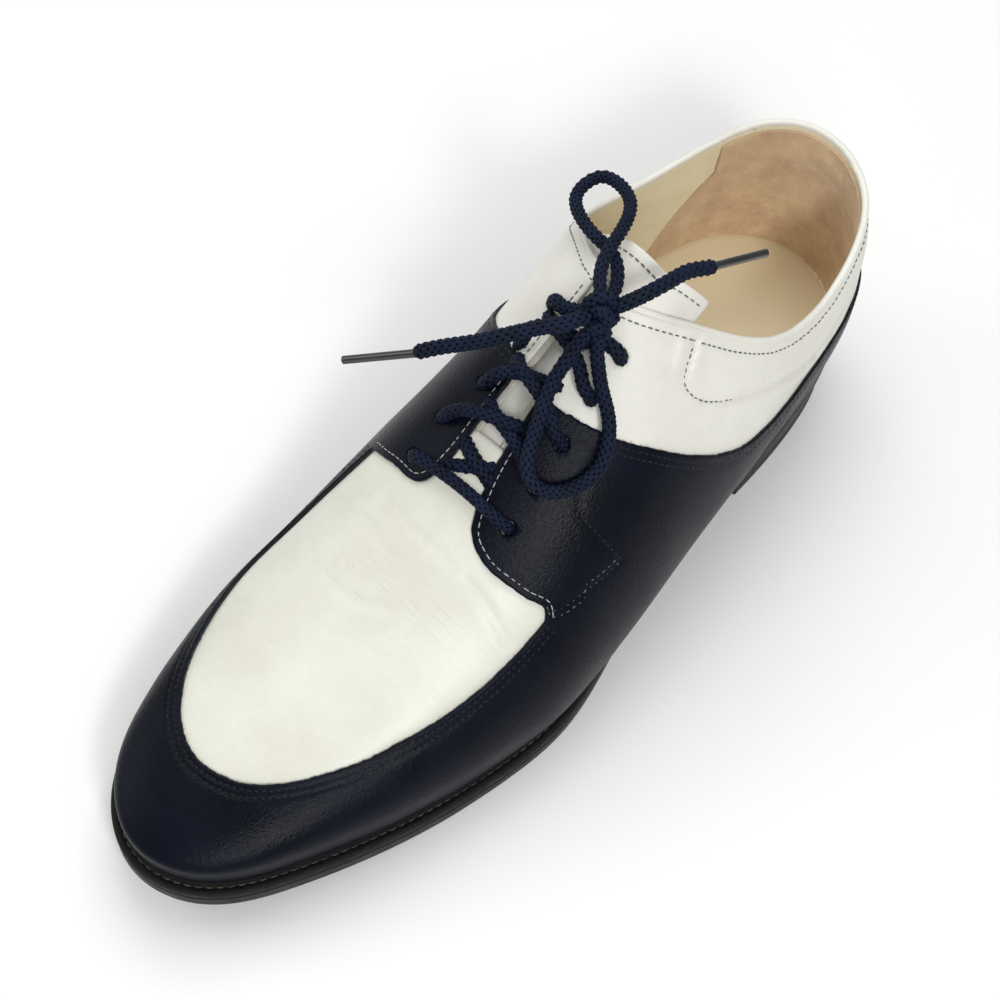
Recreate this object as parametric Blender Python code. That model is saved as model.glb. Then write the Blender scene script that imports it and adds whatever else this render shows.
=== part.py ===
"""Saddle shoe for the left foot, standing on its sole.

White leather vamp and quarters lie under a navy apron and saddle. The shoe is a derby with five pairs of
punched eyelets, a round lace tied in a bow, a welted sole and a low heel.
The toe points along -Y, the lateral side is +X, and the origin is on the floor under the heel's centre.
Tables are in millimetres and the finished meshes in metres.
"""
import bmesh
import bpy
import numpy as np
from mathutils import Vector

MM = 0.001
GAP = 0.3

# Feather line of the last seen from above: across, along. It starts at the back and goes round by the lateral side.
FEATHER_LINE = [
    (-5, 30), (21, 22), (33, -4), (35.7, -50), (36.5, -95), (45, -136.5), (43.5, -165), (35, -199), (22.5, -231),
    (8.5, -252.5), (-10, -258.5), (-28, -248), (-40, -224.5), (-47.5, -190), (-47, -165), (-41, -130),
    (-34.5, -100), (-33.5, -75), (-34.5, -45), (-33.5, -5), (-23.5, 20.5)]

# Sections of the last, heel to toe. Full is the power of the rounded section, 2 for an ellipse.
SECTION_COLUMNS = ("along", "spine", "seat", "belly", "crest", "full_lateral", "full_medial",
                   "swell_lateral", "swell_medial")
SECTIONS = [
    (40, -5, 27, 22, 138.5, 2.1, 2.2, 6.5, 0.5),
    (0, -5, 27, 22, 132, 2.0, 2.1, 5.5, 1.5),
    (-40, -5, 25, 21.5, 123, 1.9, 2.0, 8, 6.5),
    (-70, -5, 20, 21.5, 112.5, 1.85, 1.9, 11, 8.5),
    (-100, -4.5, 14, 20, 96, 1.9, 1.9, 11.5, 9.5),
    (-130, -3.5, 10, 16, 77.5, 2.0, 2.0, 6.5, 7),
    (-165, -5, 8, 13, 58, 2.0, 2.0, 3.5, 3.5),
    (-200, -7, 9.5, 12, 44.5, 2.2, 2.2, 3, 2),
    (-230, -8.5, 13, 11, 37.5, 2.3, 2.3, 2.5, 2),
    (-262, -10, 18, 10, 33, 2.4, 2.4, 2, 2)]
END_ZONE = 62
END_SLOPE = 0.25

# Top edge of the collar: along, height on the lateral side, height on the medial side.
TOPLINE = [(40, 93.5, 93.5), (10, 82, 78.5), (-15, 78, 76), (-40, 85, 86), (-54, 94.8, 98),
           (-62, 101.2, 106.5), (-70, 106.3, 111), (-80, 110.5, 112)]
COLLAR_START = -80

# Edges of the throat: along, lateral distance from the spine, medial distance.
THROAT = [(-133, 7.5, 7.5), (-125, 6, 6.5), (-110, 5, 5.5), (-95, 5, 4), (-80, 6, 3), (-60, 6, 3)]
THROAT_END = -137
FACING_TOP = -60

# Where navy leather ends above white, as a height by place along: the saddle's upper edge on either side.
SADDLE_EDGE = [(-106, 93), (-99, 87), (-94, 83.5), (-85, 76.5), (-73.5, 67.5), (-60.5, 59), (-47, 54.5),
               (-29, 53), (-14, 54), (10, 56), (40, 58)]
SADDLE_FRONT = -105
SADDLE_TOP = 0.87
# The apron seam as a share of the way from the belly to the crest, by place along.
APRON_SEAM = [(-141, 0.45), (-166, 0.45), (-190, 0.47), (-215, 0.52), (-235, 0.62), (-248, 0.8), (-262, 0.92)]
FACING_FRONT = -141
STEP_PLACE = 1

UPPER_WALL = 2.6
LEATHER = 1.0
STEP_RUN = 0.012
ROWS_BELOW_SEAM = 7
ROWS_ABOVE_SEAM = 6
INNER_ROWS = 16
SEAM_BELOW_TOP = 0.08
RIB_PLACES = (29, 26, 21, 14, 5, -6, -18, -30, -41, -50, -58, -64, -69, -74, -79, -85, -90, -94, -98, -101.5, -104.5,
              -105.5, -112, -119, -126, -132, -137, -140.5, -141, -148, -157, -166, -176, -186, -196, -206, -215, -223, -231, -238,
              -244, -249, -253.5, -256.5)

WELT_REACH_FOREPART = 4.5
WELT_REACH_HEEL = 2.5
WELT_THICKNESS = 3.0
WELT_INSIDE = 9.0
SOLE_DEPTH = 8.6
EDGE_ROUND = 0.7
INSOLE_THICKNESS = 2.5
HEEL_BREAST = -42
HEEL_LIFT_HEIGHT = 6.0
HEEL_TAPER = 1.2
SOLE_PLACES = (29, 26, 21, 14, 5, -6, -18, -30, -42, -54, -68, -84, -100, -116, -130, -142, -148, -157, -166, -176, -186,
               -196, -206, -215, -223, -231, -238, -244, -249, -253.5, -256.5)

TONGUE_GAP = 0.9
TONGUE_THICKNESS = 2.0
# Half width of the tongue measured as the share of the section that it leaves bare, by place along.
TONGUE_SIDES = [(-140, 0.78), (-120, 0.72), (-95, 0.66), (-75, 0.62), (-60, 0.6)]
TONGUE_PLACES = (-61, -66, -72, -79, -86, -93, -101, -109, -117, -125, -133, -140)
TONGUE_ROWS = 6

LACE_RADIUS = 2.2
LACE_CLEARANCE = 0.5
# Eyelets: along, lateral distance from the spine, medial distance.
EYELETS = [(-134, 19, 18), (-122, 18.5, 17.5), (-110, 17.5, 14.5), (-97, 17, 13.5), (-84.5, 17, 12)]
EYELET_RADIUS = 2.3
BAR_LIFT = 0.6
CROSS_LIFT = 1.5
TIE_LIFT = 2.6
WELD_DISTANCE = 0.00001

# The bow. The knot sits over the last pair of eyelets, and each route leaves the knot and is listed from it.
KNOT = (5.1, -86.5, 117)
KNOT_RADIUS = 5.6
LOOP_UP = [(-0.7, -83.2, 122), (-4.1, -77.2, 122.5), (-5.6, -70.7, 122.5), (-9, -59.2, 119), (-14.2, -47.7, 114),
           (-22.6, -41.1, 110), (-30.9, -42.1, 108), (-33.4, -49.6, 109), (-28.1, -60.2, 112.5),
           (-17.2, -65.9, 115.5), (-8.2, -66.7, 116.5), (-0.5, -69.9, 116), (2.1, -75.8, 115)]
LOOP_DOWN = [(10.5, -88, 110), (11.5, -92.2, 103), (15.5, -94.8, 97.8), (19.7, -98, 93.6), (22.8, -102.4, 89.5),
             (24.6, -108, 85.5), (24, -114.6, 82.6), (20.8, -121.1, 83.1), (17.3, -124.7, 87),
             (13.7, -124.5, 90.1), (10.3, -121.3, 93), (7.1, -115, 96.5), (6.4, -110.3, 99.4),
             (4.3, -104, 103.6), (4.4, -99.3, 106.5), (4.6, -94.4, 109.6)]
END_LEFT = [(0.7, -97.1, 119), (-3.4, -102.6, 118.5), (-8.8, -108.5, 116.5), (-15, -113.6, 112.5),
            (-24.6, -119.1, 106), (-30.8, -122.9, 101)]
END_RIGHT = [(10.8, -77.9, 121), (13.2, -67.8, 120.5), (14.3, -60, 118.5), (16.3, -54.7, 116.5)]
AGLET_LEFT = [(-31.1, -123, 100.7), (-49.9, -131.6, 88)]
AGLET_RIGHT = [(16.4, -54.4, 116.4), (22.1, -33.2, 108)]
AGLET_RADIUS = 1.2

MATERIALS = {
    "navy_leather": ((0.008, 0.011, 0.022, 1), 0.45),
    "white_leather": ((0.78, 0.77, 0.72, 1), 0.5),
    "sock_leather": ((0.62, 0.47, 0.25, 1), 0.6),
    "black_sole": ((0.012, 0.012, 0.014, 1), 0.55),
    "heel_rubber": ((0.015, 0.015, 0.015, 1), 0.8),
    "lace_cord": ((0.006, 0.009, 0.022, 1), 0.85),
    "lace_tip": ((0.03, 0.035, 0.05, 1), 0.3),
}


def spline(xs, ys):
    """Natural cubic through points given in any order."""
    order = np.argsort(xs)
    xs = np.asarray(xs, float)[order]
    ys = np.asarray(ys, float)[order]
    count = len(xs)
    step = np.diff(xs)
    system = np.eye(count)
    right = np.zeros(count)
    for i in range(1, count - 1):
        system[i, i - 1:i + 2] = step[i - 1], 2 * (step[i - 1] + step[i]), step[i]
        right[i] = 6 * ((ys[i + 1] - ys[i]) / step[i] - (ys[i] - ys[i - 1]) / step[i - 1])
    bend = np.linalg.solve(system, right)

    def value(x):
        x = np.asarray(x, float)
        i = np.clip(np.searchsorted(xs, x) - 1, 0, count - 2)
        before = x - xs[i]
        after = xs[i + 1] - x
        cubic = (bend[i] * after**3 + bend[i + 1] * before**3) / (6 * step[i])
        line = (ys[i] / step[i] - bend[i] * step[i] / 6) * after
        return cubic + line + (ys[i + 1] / step[i] - bend[i + 1] * step[i] / 6) * before
    return value


def closed_curve(points):
    """Smooth closed curve through the points, by a parameter that runs from 0 to 1."""
    ring = np.array(points[-3:] + points + points[:4], float)
    chords = np.linalg.norm(np.diff(ring, axis=0), axis=1)
    knots = np.concatenate([[0], np.cumsum(np.sqrt(chords))])
    start = knots[3]
    span = knots[3 + len(points)] - start
    across = spline(knots, ring[:, 0])
    along = spline(knots, ring[:, 1])

    def place(u):
        knot = start + span * np.mod(u, 1)
        return np.stack([across(knot), along(knot)], -1)
    return place


def table_line(table, column):
    """Straight-line reading of one column of a table whose first column is the place along."""
    rows = sorted(table)
    return lambda y: np.interp(y, [row[0] for row in rows], [row[column] for row in rows])


class Last:
    """The lasted surface: ribs rise from the feather line to the spine, each a rounded section."""

    def __init__(self):
        table = np.array(SECTIONS, float)
        for column, name in enumerate(SECTION_COLUMNS[1:], start=1):
            setattr(self, name, spline(table[:, 0], table[:, column]))
        self.outline = closed_curve(FEATHER_LINE)
        samples = np.linspace(0, 1, 4001)
        along = self.outline(samples)[:, 1]
        self.back_u = samples[np.argmax(along)]
        self.tip_u = samples[np.argmin(along)]
        self.back = along.max()
        self.tip = along.min()

    def u_at(self, y, lateral):
        """Parameter of the feather line at a place along, on one side."""
        first, last = (self.back_u, self.tip_u) if lateral else (self.back_u + (self.back_u < 0.5), self.tip_u)
        samples = np.linspace(first, last, 2001)
        along = self.outline(samples)[:, 1]
        return float(np.interp(-y, -along, samples))

    def anchor(self, y):
        """Place on the spine where the rib from this place on the feather line ends."""
        bend = (1 - END_SLOPE) / END_ZONE / 2
        heel = np.maximum(y - (self.back - END_ZONE), 0)
        toe = np.maximum(self.tip + END_ZONE - y, 0)
        return y - bend * heel**2 + bend * toe**2

    def point(self, u, t):
        """t runs from -1 at the feather line through 0 at the widest line to 1 on the spine."""
        u, t = np.broadcast_arrays(np.asarray(u, float), np.asarray(t, float))
        foot = self.outline(u)
        y = foot[..., 1]
        top_y = self.anchor(y)
        top = np.stack([self.spine(top_y), top_y], -1)
        reach = np.linalg.norm(foot - top, axis=-1)
        out = (foot - top) / reach[..., None]
        side = 0.5 + 0.5 * np.sin(np.clip(out[..., 0] / 0.8, -1, 1) * np.pi / 2)
        swell = self.swell_medial(y) * (1 - side) + self.swell_lateral(y) * side
        full = self.full_medial(y) * (1 - side) + self.full_lateral(y) * side
        low = np.clip(t, -1, 0) * np.pi / 2
        high = np.clip(t, 0, 1) * np.pi / 2
        radius = np.where(t < 0, reach + swell * np.cos(low), (reach + swell) * np.cos(high)**(2 / full))
        flat = top + out * radius[..., None]
        widest = self.seat(y) + self.belly(y)
        rise = np.where(t < 0, self.belly(y) * np.sin(low),
                        (self.crest(flat[..., 1]) - widest) * np.sin(high)**(2 / full))
        return np.concatenate([flat, (widest + rise)[..., None]], -1)

    def outward(self, u):
        """Unit vector out of the feather line, seen from above."""
        along = self.outline(u + 0.001) - self.outline(u - 0.001)
        out = np.stack([-along[..., 1], along[..., 0]], -1)
        return out / np.linalg.norm(out, axis=-1)[..., None]

    def normal(self, u, t):
        """Outward unit normal of the surface."""
        t = np.minimum(np.asarray(t, float), 0.995)
        up = self.point(u, t + 0.005) - self.point(u, t - 0.005)
        round_shoe = self.point(u + 0.0005, t) - self.point(u - 0.0005, t)
        normal = np.cross(up, round_shoe)
        return normal / np.linalg.norm(normal, axis=-1)[..., None]

    def inside(self, u, t, depth):
        """Point at a depth under the surface."""
        return self.point(u, t) - self.normal(u, t) * np.reshape(depth, (-1, 1))

    def level(self, u, reached):
        """Lowest t above the widest line at which a test on the point becomes true."""
        t = np.linspace(0.02, 1, 400)
        hits = np.flatnonzero(reached(self.point(u, t)))
        return float(t[hits[0]]) if len(hits) else 1.0

    def on_top(self, y, offset):
        """Point and outward normal of the surface at a distance across from the spine, lateral positive."""
        u = self.u_at(y, offset > 0)
        t = self.level(u, lambda p: np.abs(p[:, 0] - self.spine(y)) <= abs(offset))
        return self.point(u, t), self.normal(u, t)


LAST = Last()


def outsole_bottom(y):
    return np.maximum(LAST.seat(y) - SOLE_DEPTH, 0)


def new_object(name, points, faces, material):
    """Mesh object from points in millimetres."""
    mesh = bpy.data.meshes.new(name)
    mesh.from_pydata([tuple(p) for p in np.asarray(points, float) * MM], [], faces)
    mesh.update()
    piece = bpy.data.objects.new(name, mesh)
    finish(piece, material)
    return piece


def finish(piece, material):
    """Material, smooth shading and the shoe's collection."""
    piece.data.materials.clear()
    piece.data.materials.append(material_named(material))
    if piece.name not in SHOE.objects:
        SHOE.objects.link(piece)
    piece.data.shade_smooth()
    piece.data.set_sharp_from_angle(angle=0.6)


def material_named(name):
    if name in bpy.data.materials:
        return bpy.data.materials[name]
    colour, roughness = MATERIALS[name]
    material = bpy.data.materials.new(name)
    material.use_nodes = True
    shader = material.node_tree.nodes["Principled BSDF"]
    shader.inputs["Base Color"].default_value = colour
    shader.inputs["Roughness"].default_value = roughness
    shader.inputs["Metallic"].default_value = 0
    material.diffuse_color = colour
    return material


def top_level(y, u, lateral):
    """Where a rib ends: at the collar's top edge, the throat's edge or the spine."""
    if y <= THROAT_END:
        return 1.0
    column = 1 if lateral else 2
    level = 1.0
    if y < FACING_TOP:
        edge = table_line(THROAT, column)(y)
        level = LAST.level(u, lambda p: np.abs(p[:, 0] - LAST.spine(y)) <= edge)
    if y > COLLAR_START:
        height = spline([row[0] for row in TOPLINE], [row[column] for row in TOPLINE])(y)
        level = min(level, LAST.level(u, lambda p: p[:, 2] >= height))
    return level


def seam_level(y, u):
    """Where the navy leather ends on a rib: at the apron in front, at the saddle's edge behind."""
    if y < FACING_FRONT + STEP_PLACE:
        return float(table_line(APRON_SEAM, 1)(y))
    if y >= SADDLE_FRONT:
        height = table_line(SADDLE_EDGE, 1)(y)
        return LAST.level(u, lambda p: p[:, 2] >= height)
    share = (SADDLE_FRONT - y) / (SADDLE_FRONT - FACING_FRONT)
    return SADDLE_TOP * (1 - share) + APRON_SEAM[0][1] * share


def rib_columns(ribs, levels_of, depth_of, points):
    """Append one sheet's points rib by rib. A pair of ribs that reach the spine share their top point."""
    crown = {}
    columns = []
    for rib in ribs:
        y, u, _ = rib
        levels = levels_of(rib)
        places = LAST.inside(u, levels, depth_of(rib, levels))
        column = []
        for level, place in zip(levels, places):
            if level == 1.0 and y in crown:
                column.append(crown[y])
                continue
            column.append(len(points))
            points.append(place)
            if level == 1.0:
                crown[y] = column[-1]
        columns.append(column)
    return columns


def sheet_faces(columns, closed):
    following = columns[1:] + columns[:1] if closed else columns[1:]
    return [(here[row], here[row + 1], after[row + 1], after[row])
            for here, after in zip(columns, following) for row in range(len(here) - 1)]


def make_upper():
    """One hollow solid, open at the collar, along the throat and underneath."""
    ribs = [(LAST.back, LAST.back_u, True)]
    ribs += [(y, LAST.u_at(y, True), True) for y in RIB_PLACES]
    ribs += [(LAST.tip, LAST.tip_u, True)]
    ribs += [(y, LAST.u_at(y, False), False) for y in reversed(RIB_PLACES)]
    tops = [top_level(y, u, lateral) for y, u, lateral in ribs]
    top_of = dict(zip(ribs, tops))
    seam_of = {rib: min(seam_level(rib[0], rib[1]), top_of[rib] - SEAM_BELOW_TOP) for rib in ribs}

    def outer_levels(rib):
        below = np.linspace(-1, seam_of[rib], ROWS_BELOW_SEAM + 1)
        above = np.linspace(seam_of[rib] + STEP_RUN, top_of[rib], ROWS_ABOVE_SEAM + 1)
        return np.concatenate([below, above])

    def outer_depth(rib, levels):
        white = rib[0] <= FACING_FRONT or rib[0] >= SADDLE_FRONT
        return np.where(white & (levels > seam_of[rib]), LEATHER, 0.0)

    def inner_levels(rib):
        return np.linspace(-1, top_of[rib], INNER_ROWS + 1)

    def inner_depth(_, levels):
        return np.full(len(levels), UPPER_WALL)

    points = []
    outer = rib_columns(ribs, outer_levels, outer_depth, points)
    inner = rib_columns(ribs, inner_levels, inner_depth, points)
    for (_, u, _), out_column, in_column in zip(ribs, outer, inner):
        foot = LAST.point(u, -1)
        foot[2] += GAP
        points[out_column[0]] = foot
        points[in_column[0]] = foot - (*LAST.outward(u) * UPPER_WALL, 0)
    faces = sheet_faces(outer, True)
    faces += [tuple(reversed(face)) for face in sheet_faces(inner, True)]
    for i, j in zip(range(len(ribs)), list(range(1, len(ribs))) + [0]):
        faces.append((outer[i][0], outer[j][0], inner[j][0], inner[i][0]))
        if outer[i][-1] != outer[j][-1] and not tops[i] == tops[j] == 1.0:
            faces.append((outer[j][-1], outer[i][-1], inner[i][-1], inner[j][-1]))
    return new_object("upper", points, faces, "navy_leather")


def make_tongue():
    """Curved strip under the throat, between the facings and the foot."""
    points = []
    layers = []
    for depth in (UPPER_WALL + TONGUE_GAP, UPPER_WALL + TONGUE_GAP + TONGUE_THICKNESS):
        columns = []
        for y in TONGUE_PLACES:
            levels = np.linspace(table_line(TONGUE_SIDES, 1)(y), 1, TONGUE_ROWS + 1)
            lateral = LAST.inside(LAST.u_at(y, True), levels, depth)
            medial = LAST.inside(LAST.u_at(y, False), levels[:-1], depth)
            strip = np.vstack([lateral, medial[::-1]])
            columns.append(list(range(len(points), len(points) + len(strip))))
            points.extend(strip)
        layers.append(columns)
    outer, inner = layers
    faces = sheet_faces(outer, False)
    faces += [tuple(reversed(face)) for face in sheet_faces(inner, False)]
    outer_edge = outer[0] + [column[-1] for column in outer[1:]] + outer[-1][-2::-1]
    outer_edge += [column[0] for column in outer[-2:0:-1]]
    shift = inner[0][0] - outer[0][0]
    for here, after in zip(outer_edge, outer_edge[1:] + outer_edge[:1]):
        faces.append((after, here, here + shift, after + shift))
    return new_object("tongue", points, faces, "white_leather")


def outline_ring(places, reach, closed_toe=True):
    """Points round the feather line moved outward by reach, and the index of each point's partner."""
    us = [LAST.back_u] + [LAST.u_at(y, True) for y in places]
    us += [LAST.tip_u] if closed_toe else []
    us += [LAST.u_at(y, False) for y in reversed(places)]
    us = np.array(us)
    here = LAST.outline(us)
    return here + LAST.outward(us) * np.reshape(reach(here[:, 1]), (-1, 1))


def welt_reach(y):
    return np.interp(y, [-110, -60], [WELT_REACH_FOREPART, WELT_REACH_HEEL])


def ring_loft(places, loops, closed_toe=True):
    """Points and rings round the shoe, one ring for each pair of a reach and a height."""
    points = []
    rings = []
    for reach, height in loops:
        ring = outline_ring(places, reach, closed_toe)
        rings.append(range(len(points), len(points) + len(ring)))
        points.extend((x, y, z) for (x, y), z in zip(ring, height(ring[:, 1])))
    return points, rings


def ring_walls(rings, following):
    count = len(rings[0])
    return [(low[i], high[i], high[(i + 1) % count], low[(i + 1) % count])
            for low, high in zip(rings, following) for i in range(count)]


def slab(name, places, loops, material, closed_toe=True):
    """Solid between rings listed from its bottom to its top, closed by strips across the shoe."""
    points, rings = ring_loft(places, loops, closed_toe)
    faces = ring_walls(rings, rings[1:])
    bottom, top = rings[0], rings[-1]
    count = len(bottom)
    for i in range(count // 2):
        strip = list(dict.fromkeys((i, i + 1, count - i - 1, (count - i) % count)))
        faces.append(tuple(bottom[k] for k in strip))
        faces.append(tuple(top[k] for k in reversed(strip)))
    return new_object(name, points, faces, material)


def inset(distance):
    return lambda y: np.full(np.shape(y), -float(distance))


def welt_less(distance):
    return lambda y: welt_reach(y) - distance


def level_height(height):
    return lambda y: np.full(np.shape(y), float(height))


def make_outsole():
    def top(y):
        return LAST.seat(y) - WELT_THICKNESS - GAP

    loops = [(welt_less(EDGE_ROUND), outsole_bottom),
             (welt_less(0), lambda y: outsole_bottom(y) + EDGE_ROUND),
             (welt_less(0), lambda y: top(y) - EDGE_ROUND),
             (welt_less(EDGE_ROUND), top)]
    return slab("outsole", SOLE_PLACES, loops, "black_sole")


def make_welt():
    """Flat ring under the upper's edge, flush with the outsole."""
    def low(y):
        return LAST.seat(y) - WELT_THICKNESS

    loops = [(inset(WELT_INSIDE), low), (welt_less(EDGE_ROUND / 2), low),
             (welt_less(0), lambda y: low(y) + EDGE_ROUND / 2),
             (welt_less(0), lambda y: LAST.seat(y) - EDGE_ROUND),
             (welt_less(EDGE_ROUND), LAST.seat), (inset(WELT_INSIDE), LAST.seat)]
    points, rings = ring_loft(SOLE_PLACES, loops)
    faces = ring_walls(rings, rings[1:] + rings[:1])
    return new_object("welt", points, faces, "black_sole")


def make_insole():
    edge = inset(UPPER_WALL + 2 * GAP)
    loops = [(edge, lambda y: LAST.seat(y) + GAP),
             (edge, lambda y: LAST.seat(y) + GAP + INSOLE_THICKNESS)]
    return slab("insole", SOLE_PLACES, loops, "sock_leather")


def make_heel():
    """Stacked heel and its rubber top piece, cut off square at the breast."""
    places = [y for y in SOLE_PLACES if y >= HEEL_BREAST]

    stack = [(welt_less(HEEL_TAPER), level_height(HEEL_LIFT_HEIGHT + GAP)),
             (welt_less(0), lambda y: outsole_bottom(y) - GAP)]
    lift = [(welt_less(HEEL_TAPER + 2 * EDGE_ROUND), level_height(0)),
            (welt_less(HEEL_TAPER + EDGE_ROUND / 2), level_height(EDGE_ROUND)),
            (welt_less(HEEL_TAPER), level_height(HEEL_LIFT_HEIGHT))]
    slab("heel_stack", places, stack, "black_sole", closed_toe=False)
    slab("heel_top_piece", places, lift, "heel_rubber", closed_toe=False)


def tube(name, route, radius, material):
    """Round cord along a smooth curve through its route."""
    route = np.array(route, float)
    steps = np.concatenate([[0], np.cumsum(np.linalg.norm(np.diff(route, axis=0), axis=1))])
    count = max(4, int(steps[-1] / (2.2 * radius)))
    at = np.linspace(0, steps[-1], count + 1)
    smooth = np.stack([spline(steps, route[:, axis])(at) for axis in range(3)], -1)
    curve = bpy.data.curves.new(name, "CURVE")
    curve.dimensions = "3D"
    curve.bevel_depth = radius * MM
    curve.bevel_resolution = 2
    curve.use_fill_caps = True
    line = curve.splines.new("POLY")
    line.points.add(len(smooth) - 1)
    for point, place in zip(line.points, smooth):
        point.co = (*(place * MM), 1)
    cord = bpy.data.objects.new(name, curve)
    SHOE.objects.link(cord)
    curve.materials.append(material_named(material))
    return cord


def as_mesh(cord):
    """Replace a curve by a closed mesh of the same name."""
    name = cord.name
    bpy.context.view_layer.update()
    mesh = bpy.data.meshes.new_from_object(cord.evaluated_get(bpy.context.evaluated_depsgraph_get()))
    work = bmesh.new()
    work.from_mesh(mesh)
    bmesh.ops.remove_doubles(work, verts=work.verts, dist=WELD_DISTANCE)
    work.to_mesh(mesh)
    work.free()
    bpy.data.objects.remove(cord)
    piece = bpy.data.objects.new(name, mesh)
    SHOE.objects.link(piece)
    return piece


def joined(name, cords):
    """Union of crossing cords as one closed mesh."""
    pieces = [as_mesh(cord) for cord in cords]
    base = pieces[0]
    for other in pieces[1:]:
        union = base.modifiers.new("union", "BOOLEAN")
        union.operation = "UNION"
        union.object = other
        bpy.context.view_layer.update()
        mesh = bpy.data.meshes.new_from_object(base.evaluated_get(bpy.context.evaluated_depsgraph_get()))
        base.modifiers.clear()
        base.data = mesh
        bpy.data.objects.remove(other)
    base.name = name
    finish(base, "lace_cord")
    return base


def above_facing(y, offset, lift=0.0):
    """Centre of a cord that lies on the facing."""
    place, normal = LAST.on_top(y, offset)
    return place + normal * (LACE_RADIUS + LACE_CLEARANCE + lift)


def make_lacing():
    """The straight bar at the first pair of eyelets, then crossed strands up to the last pair."""
    y, lateral, medial = EYELETS[0]
    bar = [above_facing(y, lateral), above_facing(y, lateral / 2), above_facing(y, 2, BAR_LIFT),
           above_facing(y, -medial / 2), above_facing(y, -medial)]
    joined("lace_bar", [tube("bar", bar, LACE_RADIUS, "lace_cord")])
    pairs = list(zip(EYELETS[1:], EYELETS[2:]))
    for number, (low, high) in enumerate(pairs, start=1):
        middle = (low[0] + high[0]) / 2
        right = [above_facing(low[0], low[1]), above_facing((low[0] + middle) / 2, low[1] / 2, BAR_LIFT),
                 above_facing(middle, 1, CROSS_LIFT), above_facing(middle + 2, -7)]
        left = [above_facing(low[0], -low[2]), above_facing((low[0] + middle) / 2, -low[2] / 2, BAR_LIFT),
                above_facing(middle, -1, CROSS_LIFT), above_facing(middle + 2, 7)]
        joined(f"lace_cross_{number}", [tube("right", right, LACE_RADIUS, "lace_cord"),
                                        tube("left", left, LACE_RADIUS, "lace_cord")])


def make_tie():
    """Last pair of eyelets, the knot above them, its two loops and its two ends."""
    y, lateral, medial = EYELETS[-1]
    tie = [above_facing(y, lateral), above_facing(y, lateral * 0.6, BAR_LIFT), above_facing(y, lateral * 0.3, TIE_LIFT),
           above_facing(y, -medial * 0.5, BAR_LIFT), above_facing(y, -medial)]
    joined("lace_tie", [tube("tie", tie, LACE_RADIUS, "lace_cord")])
    knot = Vector(KNOT)
    bpy.ops.mesh.primitive_uv_sphere_add(segments=18, ring_count=12, radius=KNOT_RADIUS * MM, location=knot * MM)
    ball = bpy.context.object
    ball.name = "lace_knot"
    for collection in list(ball.users_collection):
        collection.objects.unlink(ball)
    finish(ball, "lace_cord")

    def leave(point):
        return knot + (Vector(point) - knot).normalized() * (KNOT_RADIUS + GAP)
    tube("lace_loop_up", [leave(LOOP_UP[0]), *LOOP_UP, leave(LOOP_UP[-1])], LACE_RADIUS, "lace_cord")
    tube("lace_loop_down", [leave(LOOP_DOWN[0]), *LOOP_DOWN, leave(LOOP_DOWN[-1])], LACE_RADIUS, "lace_cord")
    tube("lace_end_left", [leave(END_LEFT[0]), *END_LEFT], LACE_RADIUS, "lace_cord")
    tube("lace_end_right", [leave(END_RIGHT[0]), *END_RIGHT], LACE_RADIUS, "lace_cord")
    tube("aglet_left", AGLET_LEFT, AGLET_RADIUS, "lace_tip")
    tube("aglet_right", AGLET_RIGHT, AGLET_RADIUS, "lace_tip")


def punch_eyelets(upper):
    """Round holes through both facings."""
    cutters = bpy.data.collections.new("cutters")
    bpy.context.scene.collection.children.link(cutters)
    for number, (y, lateral, medial) in enumerate(EYELETS, start=1):
        for side, offset in (("lateral", lateral), ("medial", -medial)):
            place, normal = LAST.on_top(y, offset)
            bpy.ops.mesh.primitive_cylinder_add(vertices=12, radius=EYELET_RADIUS * MM, depth=4 * UPPER_WALL * MM,
                                                location=Vector(place) * MM)
            punch = bpy.context.object
            punch.name = f"punch_{side}_{number}"
            punch.rotation_mode = "QUATERNION"
            punch.rotation_quaternion = Vector(normal).to_track_quat("Z", "Y")
            punch.hide_render = True
            punch.display_type = "WIRE"
            for collection in list(punch.users_collection):
                collection.objects.unlink(punch)
            cutters.objects.link(punch)
    cut = upper.modifiers.new("eyelets", "BOOLEAN")
    cut.operation = "DIFFERENCE"
    cut.operand_type = "COLLECTION"
    cut.collection = cutters


def clear_scene():
    for item in list(bpy.data.objects):
        bpy.data.objects.remove(item)


clear_scene()
SHOE = bpy.data.collections.new("saddle_shoe")
bpy.context.scene.collection.children.link(SHOE)
punch_eyelets(make_upper())
make_tongue()
make_insole()
make_welt()
make_outsole()
make_heel()
make_lacing()
make_tie()
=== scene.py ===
"""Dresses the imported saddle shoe: leather panels, stitching, laces, sole, floor, light and camera."""
import math

import bmesh
import bpy
import numpy as np
from mathutils import Matrix, Vector
from mathutils.kdtree import KDTree


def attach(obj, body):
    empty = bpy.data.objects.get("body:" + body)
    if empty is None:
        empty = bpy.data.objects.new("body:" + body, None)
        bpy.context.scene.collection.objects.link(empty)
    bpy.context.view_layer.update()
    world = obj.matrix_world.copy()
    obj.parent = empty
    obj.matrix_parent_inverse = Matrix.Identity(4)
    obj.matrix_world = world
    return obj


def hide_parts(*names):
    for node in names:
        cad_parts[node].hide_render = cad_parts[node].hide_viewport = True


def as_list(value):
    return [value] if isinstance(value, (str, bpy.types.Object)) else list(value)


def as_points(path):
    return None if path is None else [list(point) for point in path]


bl_info = {
    "name": "Saddle Shoe",
    "version": (1, 0, 0),
    "blender": (4, 5, 0),
    "location": "3D View > Sidebar > Shoe",
    "description": "Builds the panels, stitches, laces and sole of a two-colour saddle shoe",
    "category": "Object",
}

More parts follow.
